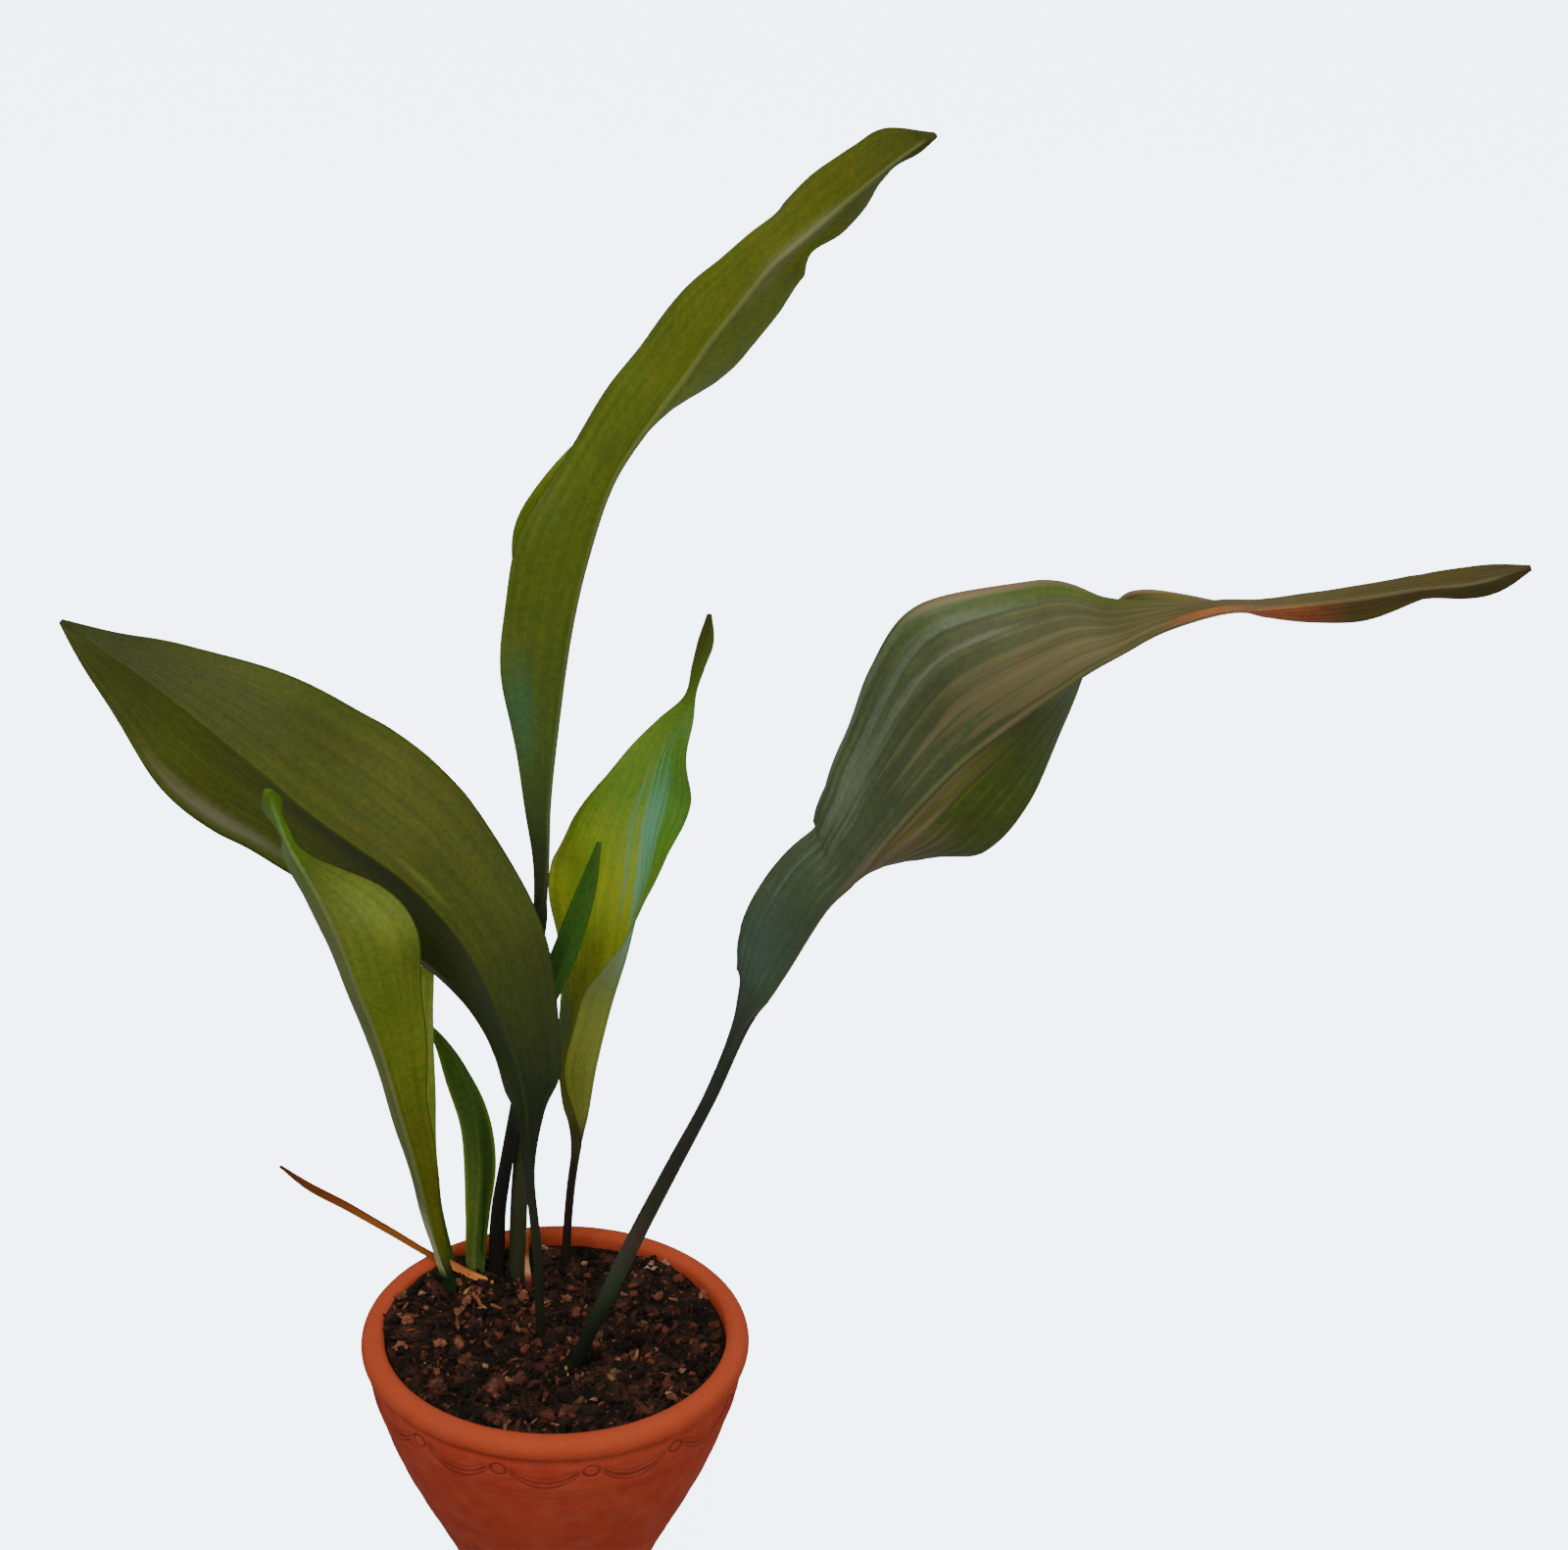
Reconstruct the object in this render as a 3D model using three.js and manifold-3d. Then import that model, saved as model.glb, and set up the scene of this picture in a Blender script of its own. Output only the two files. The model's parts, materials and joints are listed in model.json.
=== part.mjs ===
// Potted cast iron plant: a terracotta pot of soil, the rhizome that creeps in it, eight living leaves
// on their stalks, one withered leaf that lies over the rim and one dry scale.
// Millimetres, +Z up. The origin is the centre of the pot's foot, and the front is the -Y side.

import * as THREE from "three";
import Module from "manifold-3d";
import { mergeVertices } from "three/addons/utils/BufferGeometryUtils.js";

const wasm = await Module();
wasm.setup();

// Pot
const WALL = 6.2;
const FLOOR = 8;
const FOOT_RADIUS = 35.5;
const FOOT_ROUND = 1.5;
const POT_SIDES = 48;
const DRAIN_HOLES = 3;
const DRAIN_RADIUS = 3.5;
const DRAIN_CIRCLE = 15;
const DRAIN_SIDES = 12;
const ROUND_STEPS = 3;
const OUTER_STEPS = 9;
const INNER_STEPS = 6;

// The bell of the pot's outer wall, as radius and height, from the foot to the neck under the rim.
const BELL = [
  [36.2, 8],
  [38.2, 18],
  [43.2, 30],
  [50, 44],
  [56, 57],
  [61.6, 70.5],
  [66, 84],
  [69, 94],
  [70.3, 101],
  [70.4, 106],
];

// The rolled rim, as radius and height, from the neck over the top to the mouth of the inner wall.
const RIM = [
  [71.4, 106.8],
  [72.5, 108.3],
  [72.8, 110.5],
  [72.2, 112.7],
  [70.7, 114.3],
  [68.4, 115],
  [66.1, 114.7],
  [64.4, 113.4],
  [63.9, 110.5],
];

// Soil
const SOIL_LEVEL = 110.5;
const SOIL_RINGS = 9;
const SOIL_GAP = 0.35;
const MOUND = 0.8;

// Crumbs: waves over the soil, each with its height, its lengths along x and y and its shift.
const CRUMBS = [
  { height: 0.45, x: 15.3, y: 17, shift: 0.7 },
  { height: 0.45, x: 15.3, y: -17, shift: 1.9 },
  { height: 0.27, x: 21.7, y: 8.1, shift: 3.6 },
  { height: 0.27, x: 8.4, y: 39, shift: 0.4 },
];

// Bark chips that stand out of the soil: place, radius and height.
const CHIPS = [
  { x: -20, y: -34, radius: 6, height: 2.6 },
  { x: -12, y: -31, radius: 5, height: 2.4 },
  { x: 5, y: -48, radius: 5, height: 2.2 },
  { x: 22, y: -27, radius: 4.5, height: 2.4 },
  { x: -42, y: -31, radius: 5, height: 1.8 },
  { x: -57, y: 0, radius: 5, height: 1.8 },
  { x: -33, y: 22, radius: 5, height: 2.6 },
  { x: 38, y: 44, radius: 5, height: 2 },
  { x: -58, y: 24, radius: 4.5, height: 2.2 },
  { x: 32, y: -47, radius: 5, height: 1.6 },
  { x: 50, y: 20, radius: 6, height: 1.4 },
];

// Holes that the stalks stand in: the gap around a stalk, and how far the cut reaches past both ends
const HOLE_GAP = 0.44;
const HOLE_ABOVE = 8;
const HOLE_BELOW = 3;

// Rhizome, which creeps under the stalks, and its fleshy roots
const RHIZOME_RADIUS = 4.6;
const RHIZOME_LEVEL = 84;
const RHIZOME_GAP = 0.45;
const RHIZOME_SIDES = 8;
const RHIZOME_SWELL = 0.05;
const ROOT_RADIUS = 1.6;
const ROOT_SIDES = 5;
const ROOT_SAG = 5;
const ROOT_SHARES = [0, 0.35, 0.7, 1];
// Rods: length of a piece in radii, radius of the ends, and the slope from which a rod counts as steep
const ROD_STEP = 3;
const ROD_END = 0.6;
const STEEP = 0.6;
const MAIN_RUN = [
  [-44, 19],
  [-39, 28],
  [-33, 35.5],
  [-22, 41.5],
  [-9, 43.5],
  [3, 47.5],
  [10, 50],
];
const BRANCH_RUN = [
  [-14, 42.5],
  [-9, 24],
  [-5, 2],
  [2, -16],
  [10, -28],
];
// Roots: where each leaves the rhizome, and where it ends.
const ROOTS = [
  { from: [-38, 29], to: [-20, 10, 36] },
  { from: [-24, 41], to: [-9, 21, 27] },
  { from: [-9, 43.5], to: [5, 25, 30] },
  { from: [-9, 23], to: [12, 12, 22] },
  { from: [-5, 1], to: [-14, -11, 30] },
  { from: [2, -16], to: [12, -10, 20] },
];

// Leaves: blade thickness, foot of the stalks, taper of the rib, spacing of the sections and tip
const BLADE = 0.8;
const STALK_FOOT = 88.95;
const RIB_AT_TIP = 0.7;
const RIB_TAPER = 0.35;
const STALK_FLATNESS = 0.92;
const STEP = 11;
const TIP_WIDTH = 0.9;

// Ripples: they start on a half blade of so many rib radii, are full at this half width, and differ
// between the two halves by this phase.
const RIPPLE_FROM = 1.5;
const RIPPLE_FULL = 12;
const RIPPLE_SHIFT = 2;

// The way the blades face
const FRONT_LIFT = THREE.MathUtils.degToRad(27);
const FRONT = new THREE.Vector3(0, -Math.cos(FRONT_LIFT), Math.sin(FRONT_LIFT));

// A stalk's place and its radius.
function stalk(x, y, z, radius) {
  return { at: [x, y, z], radius, left: [radius, 0, 0], right: [radius, 0, 0] };
}

// A place on the rib, with each half blade as seen from the front: its width, the angle by which it
// turns towards the front (below -90 it folds back across the rib) and the angle by which it curls.
function blade(x, y, z, left, right) {
  return { at: [x, y, z], left, right };
}

const LEAVES = {
  tall_leaf: {
    ripple: { height: 1, length: 52, width: 0.02 },
    stations: [
      stalk(-15.6, 43, STALK_FOOT, 3.3),
      stalk(-15, 43, 118.5, 3.3),
      stalk(-14, 43, 148, 3.3),
      stalk(-11.5, 43, 188, 2.8),
      stalk(-9.5, 43, 223, 2.3),
      stalk(-6.5, 42, 256.5, 2.1),
      blade(-4, 41, 285.5, [5, 0, -10], [5, -140, -10]),
      blade(-3, 40, 313.5, [9, 0, -15], [10, -140, -20]),
      blade(0, 38, 345, [18, 0, -15], [17, -140, -25]),
      blade(4.5, 35, 381, [25, 5, -20], [23, -140, -30]),
      blade(10.5, 32, 411, [24.8, 5, -20], [32, -140, -30]),
      blade(19.5, 28, 441, [20.5, -5, -25], [23.5, -130, -30]),
      blade(33.4, 23, 465.3, [21, -10, -28], [24.6, -78, -18]),
      blade(42.8, 19.6, 479.9, [22.6, -14, -22], [24, -63, -16]),
      blade(51.6, 15.4, 494.8, [20.5, -16, -20], [20, -55, -14]),
      blade(61.5, 9.9, 509.8, [17.6, -18, -20], [18.6, -49, -12]),
      blade(70, 4.5, 522.9, [16.6, -19, -20], [13.5, -48, -12]),
      blade(77.7, 0, 531.4, [16.4, -18, -20], [6, -48, -12]),
      blade(85, -4.7, 539.6, [15.6, -15, -18], [9.8, -52, -12]),
      blade(92.1, -9.6, 547.8, [15, -12, -14], [10.5, -62, -11]),
      blade(99.7, -15, 556.3, [14.3, -10, -10], [6, -82, -10]),
      blade(106.9, -20, 564, [12, -8, -5], [3.2, -92, 0]),
      blade(117.5, -27, 574, [TIP_WIDTH, 0, 0], [TIP_WIDTH, 0, 0]),
    ],
  },
  broad_leaf: {
    ripple: { height: 0.8, length: 60, width: 0.01 },
    stations: [
      stalk(-4.8, -0.6, STALK_FOOT, 1.7),
      stalk(-6, 0, 119.5, 1.7),
      stalk(-7, 0.5, 148.5, 1.8),
      stalk(-9.8, 2, 181, 2),
      blade(-10.8, 3, 206, [4.2, -10, 0], [6.6, -10, 0]),
      blade(-12, 3.5, 216, [9, -55, 20], [13, 0, -10]),
      blade(-14.5, 4, 228, [15, -85, 40], [17.5, 0, -10]),
      blade(-22.5, 5, 252.5, [22, -75, 40], [24, 0, -15]),
      blade(-32, 7, 272, [28, -71, 40], [29, 0, -15]),
      blade(-43, 9.5, 286.5, [30, -70, 40], [33.6, 0, -15]),
      blade(-55.5, 12.5, 298, [34, -72, 40], [38, 0, -15]),
      blade(-69.5, 16, 307.5, [35, -73, 40], [40.8, 0, -15]),
      blade(-86.5, 20, 319.5, [36, -70, 40], [41.6, 0, -15]),
      blade(-101.5, 24, 332, [38, -61, 40], [37, 0, -15]),
      blade(-121.5, 30, 347.5, [31, -46, 40], [29, 0, -15]),
      blade(-141.5, 36, 362, [20, -35, 30], [18, 0, -10]),
      blade(-157, 41, 372, [11.6, -25, 20], [8, 0, 0]),
      blade(-173, 46, 381.5, [TIP_WIDTH, 0, 0], [TIP_WIDTH, 0, 0]),
    ],
  },
  rolled_leaf: {
    ripple: { height: 0.6, length: 48, width: 0.01 },
    stations: [
      stalk(-38.4, 28, STALK_FOOT, 2.3),
      stalk(-40.5, 27.5, 115.5, 2.3),
      blade(-43.5, 24.5, 130.5, [4.4, -35, -40], [2.8, 0, 0]),
      blade(-48, 19, 154, [10, -40, -75], [5, 0, 0]),
      blade(-52.5, 12, 182.5, [13, -40, -75], [8.5, 0, 0]),
      blade(-58, 4, 212.5, [16, -42, -75], [11.6, 5, -10]),
      blade(-63.5, -3, 241, [20, -46, -70], [18, 5, -15]),
      blade(-69.5, -10, 264.5, [23, -48, -70], [23.5, 5, -20]),
      blade(-74.5, -15, 284.5, [24, -50, -65], [27, 5, -28]),
      blade(-80, -19, 302, [24, -50, -65], [20.5, -42, -35]),
      blade(-85.5, -22, 316, [19, -58, -40], [13.5, -72, -20]),
      blade(-90, -24, 326.5, [12, -84, -10], [12, -84, 0]),
      blade(-93.5, -26, 338.5, [8, -64, 0], [8, -76, 0]),
      blade(-96.5, -28, 351, [TIP_WIDTH, 0, 0], [TIP_WIDTH, 0, 0]),
    ],
  },
  spear_leaf: {
    ripple: { height: 0, length: 30, width: 0 },
    stations: [
      stalk(-33.6, 35, STALK_FOOT, 1.6),
      stalk(-41, 46.2, 115.5, 1.6),
      stalk(-45.4, 44.2, 141, 1.7),
      blade(-47.6, 41, 163, [3.4, -45, -20], [3.4, -45, -20]),
      blade(-48, 41, 191, [4.6, -45, -30], [4.6, -45, -30]),
      blade(-48.5, 40.5, 217, [4.8, -45, -30], [4.8, -45, -30]),
      blade(-48, 40, 237.5, [3.8, -40, -20], [3.8, -40, -20]),
      blade(-46.5, 40, 256.5, [TIP_WIDTH, 0, 0], [TIP_WIDTH, 0, 0]),
    ],
  },
  short_leaf: {
    ripple: { height: 0.3, length: 45, width: 0.02 },
    stations: [
      stalk(-29, 37.6, STALK_FOOT + 0.6, 3),
      stalk(-31.1, 43, 115.5, 3.7),
      blade(-29.8, 46, 135.5, [5.6, -15, -20], [4.4, -15, -20]),
      blade(-28.5, 49, 156, [8, -15, -30], [6.4, -15, -30]),
      blade(-30.5, 48, 180, [8.4, -15, -30], [4.8, -15, -30]),
      blade(-36.5, 49, 198, [6.8, -15, -20], [3, -15, -20]),
      blade(-42.5, 50, 209.5, [3.6, -10, -10], [1.6, -10, -10]),
      blade(-48, 51, 216.5, [TIP_WIDTH, 0, 0], [TIP_WIDTH, 0, 0]),
    ],
  },
  bright_leaf: {
    ripple: { height: 0.6, length: 52, width: 0.01 },
    stations: [
      stalk(3, 47, STALK_FOOT, 1.7),
      stalk(4, 52, 117.5, 1.7),
      stalk(5.5, 53, 141, 1.7),
      stalk(7.5, 53, 159, 1.9),
      blade(9.5, 53, 168, [6, 0, 0], [4, 120, 0]),
      blade(11.5, 53, 177, [10.4, 0, -10], [7, 150, 10]),
      blade(14.5, 53, 197, [14.8, 0, -10], [14, 145, 10]),
      blade(20, 53, 223, [20, 0, -12], [17.5, 130, 10]),
      blade(25.5, 53.5, 243.5, [27, 0, -15], [22, 108, 10]),
      blade(29.5, 54, 262.5, [34, 0, -18], [26, 92, 10]),
      blade(32, 55, 277.5, [35, 0, -20], [22, 82, 8]),
      blade(33, 56, 293.5, [28.5, 0, -20], [21.5, 64, 8]),
      blade(35, 57, 308.5, [20.2, 0, -18], [23, 52, 8]),
      blade(37.5, 58, 321.5, [13, 0, -15], [22, 50, 8]),
      blade(42.5, 59, 334, [7.5, 0, -10], [12, 50, 5]),
      blade(48.5, 60, 346.5, [2.4, 0, 0], [2.4, 20, 0]),
      blade(51.5, 60, 359, [2.6, 0, 0], [2.4, 20, 0]),
      blade(54, 60, 369, [3, 0, 0], [3, 20, 0]),
      blade(55, 60, 379.5, [TIP_WIDTH, 0, 0], [TIP_WIDTH, 0, 0]),
    ],
  },
  slim_leaf: {
    ripple: { height: 0.3, length: 45, width: 0.02 },
    stations: [
      stalk(-23.4, 41, STALK_FOOT, 2.7),
      stalk(-23, 43, 118.5, 3.1),
      stalk(-22, 41.5, 141, 2.9),
      stalk(-18.5, 39, 166, 2.5),
      stalk(-15, 37, 190, 2.2),
      blade(-11.5, 36, 207, [3.4, -10, -10], [2.6, -10, -10]),
      blade(-6.5, 35, 228, [5, -10, -20], [3.6, -10, -20]),
      blade(0, 35, 244.5, [6, -10, -20], [4.2, -10, -20]),
      blade(6, 34, 262.5, [5.6, -10, -20], [4, -10, -20]),
      blade(11.5, 33, 282, [4, -10, -10], [3, -10, -10]),
      blade(15.5, 32, 302, [TIP_WIDTH, 0, 0], [TIP_WIDTH, 0, 0]),
    ],
  },
  drooping_leaf: {
    ripple: { height: 1.2, length: 54, width: 0.02 },
    stations: [
      stalk(0.6, -18.4, STALK_FOOT + 0.6, 2.4),
      stalk(8.7, -22.5, 118.5, 2.5),
      stalk(18.2, -26.5, 145.5, 3),
      stalk(28.5, -31, 174.5, 3),
      stalk(41, -36.5, 207, 2.7),
      stalk(53.5, -42, 239, 2.4),
      blade(65, -47, 271, [3, -10, 0], [4, -20, 0]),
      blade(71.5, -49.5, 282.5, [15.6, -10, -20], [9, -115, -15]),
      blade(77.5, -52, 294.5, [21, -10, -25], [16, -130, -20]),
      blade(89, -57, 319.5, [25.4, -15, -25], [22, -118, -20]),
      blade(97.5, -62, 332.5, [27.5, -20, -25], [22, -80, -15]),
      blade(105.5, -65.5, 346, [29, -15, -22], [24.6, -32, -30]),
      blade(114, -69, 359.5, [35, -12, -18], [32.6, -10, -35]),
      blade(128.5, -75, 380.5, [43, -2, -14], [31, -15, -40]),
      blade(144, -81, 398, [48, 0, -18], [34, -45, -40]),
      blade(164.5, -89, 418.5, [36, -12, -25], [34, -100, -18]),
      blade(176, -93, 428, [19, -20, -25], [26, -112, -16]),
      blade(187.5, -97, 437, [12, -30, -25], [20, -124, -15]),
      blade(203.5, -101, 444.5, [10, -60, -10], [12, -106, -10]),
      blade(216.5, -105, 447.5, [6.5, -70, 0], [12.5, -80, 0]),
      blade(229.5, -108, 450, [7.2, -62, 0], [11.5, -62, 0]),
      blade(243.5, -111, 453, [7.8, -50, 0], [10.2, -55, 0]),
      blade(259, -114, 457, [7.3, -50, 0], [4.8, -55, 0]),
      blade(264.5, -115, 458, [7, -48, 0], [3.5, -50, 0]),
      blade(279, -117, 461, [6.4, -40, 0], [6, -40, 0]),
      blade(293, -120, 467, [TIP_WIDTH, 0, 0], [TIP_WIDTH, 0, 0]),
    ],
  },
  dry_leaf: {
    ripple: { height: 0.2, length: 40, width: 0.1 },
    stations: [
      blade(-24.2, 34.6, 111.8, [1, 0, 0], [1, 0, 0]),
      blade(-33, 37.6, 114, [1.5, 20, 10], [1.5, 20, 10]),
      blade(-41.5, 42.6, 115.8, [1.8, 30, 20], [1.8, 30, 20]),
      blade(-51, 50.4, 116.1, [1.7, 40, 20], [1.7, 40, 20]),
      blade(-64.5, 58.5, 120.5, [1.8, 40, 20], [1.8, 40, 20]),
      blade(-79.5, 63.5, 127.5, [2, 30, 20], [2, 30, 20]),
      blade(-95, 67, 135, [1.6, 20, 10], [1.6, 20, 10]),
      blade(-107.5, 70, 143.4, [0.6, 0, 0], [0.6, 0, 0]),
    ],
  },
  dry_scale: {
    ripple: { height: 0.1, length: 24, width: 0.05 },
    stations: [
      blade(-10.2, 28.4, 105, [1, 0, 20], [1, 0, 20]),
      blade(-10.4, 29.6, 111.5, [1.3, 10, 30], [1.3, 10, 30]),
      blade(-10.8, 31, 117.5, [1.3, 10, 30], [1.3, 10, 30]),
      blade(-11.2, 32, 123, [0.8, 0, 10], [0.8, 0, 10]),
      blade(-11, 33, 130, [0.6, 0, 0], [0.6, 0, 0]),
      blade(-11, 33, 137, [0.6, 0, 0], [0.6, 0, 0]),
    ],
  },
};

// Colours, from the plant and the pot
const MATERIALS = {
  pot: { color: 0xb4522a, roughness: 0.85 },
  soil: { color: 0x2c211b, roughness: 1 },
  rhizome: { color: 0xb79c7c, roughness: 0.8 },
  tall_leaf: { color: 0x55691f, roughness: 0.5 },
  broad_leaf: { color: 0x48551f, roughness: 0.5 },
  rolled_leaf: { color: 0x63792c, roughness: 0.5 },
  spear_leaf: { color: 0x637f2b, roughness: 0.5 },
  short_leaf: { color: 0x3c5f20, roughness: 0.45 },
  bright_leaf: { color: 0x5e8a2a, roughness: 0.35 },
  slim_leaf: { color: 0x2c5220, roughness: 0.45 },
  drooping_leaf: { color: 0x48563b, roughness: 0.5 },
  dry_leaf: { color: 0x93501d, roughness: 0.8 },
  dry_scale: { color: 0xd08a4a, roughness: 0.8 },
};

// Turns a geometry into a solid that can be cut or joined.
function toSolid(geometry) {
  const bare = geometry.clone();
  bare.deleteAttribute("normal");
  bare.deleteAttribute("uv");
  const merged = mergeVertices(bare, 1e-4);
  return new wasm.Manifold(
    new wasm.Mesh({
      numProp: 3,
      vertProperties: new Float32Array(merged.attributes.position.array),
      triVerts: new Uint32Array(merged.index.array),
    }),
  );
}

// Turns a solid back into a geometry.
function toGeometry(solid) {
  const mesh = solid.getMesh();
  const geometry = new THREE.BufferGeometry();
  geometry.setAttribute("position", new THREE.BufferAttribute(mesh.vertProperties, 3));
  geometry.setIndex(new THREE.BufferAttribute(mesh.triVerts, 1));
  geometry.computeVertexNormals();
  return geometry;
}

// A geometry from plain lists of points and of triangles.
function fromLists(points, triangles) {
  const geometry = new THREE.BufferGeometry();
  const flat = points.flatMap((p) => [p.x, p.y, p.z]);
  geometry.setAttribute("position", new THREE.Float32BufferAttribute(flat, 3));
  geometry.setIndex(triangles.flat());
  geometry.computeVertexNormals();
  return geometry;
}

// Points along an ellipse about (radius, height), from one angle to another in degrees.
function ellipse(radius, height, wide, high, from, to, steps) {
  return Array.from({ length: steps + 1 }, (_, i) => {
    const angle = THREE.MathUtils.degToRad(from + ((to - from) * i) / steps);
    return new THREE.Vector2(radius + wide * Math.cos(angle), height + high * Math.sin(angle));
  });
}

const bell = new THREE.SplineCurve(BELL.map(([radius, height]) => new THREE.Vector2(radius, height)));
const rim = RIM.map(([radius, height]) => new THREE.Vector2(radius, height));

// The inner face of the wall, from the neck down to the floor, moved in by a gap.
function innerFace(gap) {
  const run = bell.getPoints(INNER_STEPS).reverse();
  return run.map((p) => new THREE.Vector2(p.x - WALL - gap, Math.max(p.y, FLOOR + gap)));
}

// The place where the soil meets the wall, between the neck and the mouth.
function soilEdge() {
  const neck = innerFace(SOIL_GAP)[0];
  const mouth = rim[rim.length - 1];
  const share = (SOIL_LEVEL - MOUND - neck.y) / (mouth.y - neck.y);
  return neck.lerp(new THREE.Vector2(mouth.x - SOIL_GAP, mouth.y), share);
}

function makePot() {
  const foot = ellipse(FOOT_RADIUS - FOOT_ROUND, FOOT_ROUND, FOOT_ROUND, FOOT_ROUND, -90, 0, ROUND_STEPS);
  const face = innerFace(0);
  const profile = [
    new THREE.Vector2(0, 0),
    ...foot,
    ...bell.getPoints(OUTER_STEPS),
    ...rim,
    ...face,
    new THREE.Vector2(0, FLOOR),
  ];
  const body = new THREE.LatheGeometry(profile, POT_SIDES);
  body.rotateX(Math.PI / 2);
  let solid = toSolid(body);
  for (let i = 0; i < DRAIN_HOLES; i++) {
    const angle = (i * 2 * Math.PI) / DRAIN_HOLES;
    const hole = new THREE.CylinderGeometry(DRAIN_RADIUS, DRAIN_RADIUS, 4 * FLOOR, DRAIN_SIDES);
    hole.rotateX(Math.PI / 2);
    hole.translate(DRAIN_CIRCLE * Math.cos(angle), DRAIN_CIRCLE * Math.sin(angle), 0);
    solid = solid.subtract(toSolid(hole));
  }
  return toGeometry(solid);
}

// How high the soil stands at a place: a low mound, crumbs and the chips.
function soilHeight(x, y) {
  const reach = Math.hypot(x, y) / soilEdge().x;
  let height = SOIL_LEVEL + MOUND * (1 - 2 * reach * reach);
  for (const crumb of CRUMBS) {
    height += crumb.height * Math.sin(2 * Math.PI * (x / crumb.x + y / crumb.y) + crumb.shift);
  }
  for (const chip of CHIPS) {
    const far = Math.hypot(x - chip.x, y - chip.y) / chip.radius;
    height += chip.height * Math.exp(-(far ** 4));
  }
  return height;
}

function makeSoil(holes) {
  const edge = soilEdge();
  const points = [new THREE.Vector3(0, 0, soilHeight(0, 0))];
  const rows = [];
  const addRow = (radius, heightAt) => {
    rows.push(points.length);
    for (let j = 0; j < POT_SIDES; j++) {
      const angle = (j * 2 * Math.PI) / POT_SIDES;
      const x = radius * Math.sin(angle);
      const y = radius * Math.cos(angle);
      points.push(new THREE.Vector3(x, y, heightAt(x, y)));
    }
  };
  for (let i = 1; i < SOIL_RINGS; i++) {
    addRow((edge.x * i) / SOIL_RINGS, soilHeight);
  }
  for (const corner of [edge, ...innerFace(SOIL_GAP)]) {
    addRow(corner.x, () => corner.y);
  }
  points.push(new THREE.Vector3(0, 0, FLOOR + SOIL_GAP));
  const last = points.length - 1;
  const triangles = [];
  for (let j = 0; j < POT_SIDES; j++) {
    const next = (j + 1) % POT_SIDES;
    triangles.push([0, rows[0] + next, rows[0] + j]);
    for (let i = 0; i + 1 < rows.length; i++) {
      const [a, b] = [rows[i] + j, rows[i] + next];
      const [c, d] = [rows[i + 1] + j, rows[i + 1] + next];
      triangles.push([a, d, c], [a, b, d]);
    }
    const bottom = rows[rows.length - 1];
    triangles.push([last, bottom + j, bottom + next]);
  }
  let solid = toSolid(fromLists(points, triangles));
  for (const hole of holes) {
    solid = solid.subtract(hole);
  }
  return toGeometry(solid);
}

// A round rod along a run of points, swollen a little at every other ring, and grown by a gap.
function rod(run, radius, sides, swell, grow) {
  const curve = new THREE.CatmullRomCurve3(run);
  const steps = Math.round(curve.getLength() / (ROD_STEP * radius));
  const points = [];
  for (let i = 0; i <= steps; i++) {
    const t = i / steps;
    const centre = curve.getPointAt(t);
    const ahead = curve.getTangentAt(t);
    const over = new THREE.Vector3(0, 0, 1);
    if (Math.abs(ahead.z) > STEEP) {
      over.set(1, 0, 0);
    }
    const side = new THREE.Vector3().crossVectors(over, ahead).normalize();
    over.crossVectors(ahead, side);
    const end = i === 0 || i === steps ? ROD_END : 1;
    const beyond = (i === steps) - (i === 0);
    centre.addScaledVector(ahead, grow * beyond);
    const r = radius * end * (1 + swell * Math.cos(Math.PI * i)) + grow;
    for (let j = 0; j < sides; j++) {
      const angle = (j * 2 * Math.PI) / sides;
      const point = centre.clone();
      point.addScaledVector(side, r * Math.cos(angle)).addScaledVector(over, r * Math.sin(angle));
      points.push(point);
    }
  }
  const triangles = [];
  for (let i = 0; i < steps; i++) {
    for (let j = 0; j < sides; j++) {
      const next = (j + 1) % sides;
      const [a, b] = [i * sides + j, i * sides + next];
      triangles.push([a, b, b + sides], [a, b + sides, a + sides]);
    }
  }
  for (let j = 1; j + 1 < sides; j++) {
    triangles.push([0, j + 1, j], [steps * sides, steps * sides + j, steps * sides + j + 1]);
  }
  return toSolid(fromLists(points, triangles));
}

function makeRhizome(grow) {
  const level = (run) => run.map(([x, y]) => new THREE.Vector3(x, y, RHIZOME_LEVEL));
  let solid = rod(level(MAIN_RUN), RHIZOME_RADIUS, RHIZOME_SIDES, RHIZOME_SWELL, grow);
  solid = solid.add(rod(level(BRANCH_RUN), RHIZOME_RADIUS, RHIZOME_SIDES, RHIZOME_SWELL, grow));
  for (const root of ROOTS) {
    const from = new THREE.Vector3(...root.from, RHIZOME_LEVEL);
    const to = new THREE.Vector3(...root.to);
    const run = ROOT_SHARES.map((t) => {
      const point = from.clone().lerp(to, t);
      point.z -= ROOT_SAG * Math.sin(Math.PI * t);
      return point;
    });
    solid = solid.add(rod(run, ROOT_RADIUS, ROOT_SIDES, 0, grow));
  }
  return solid;
}

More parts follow.
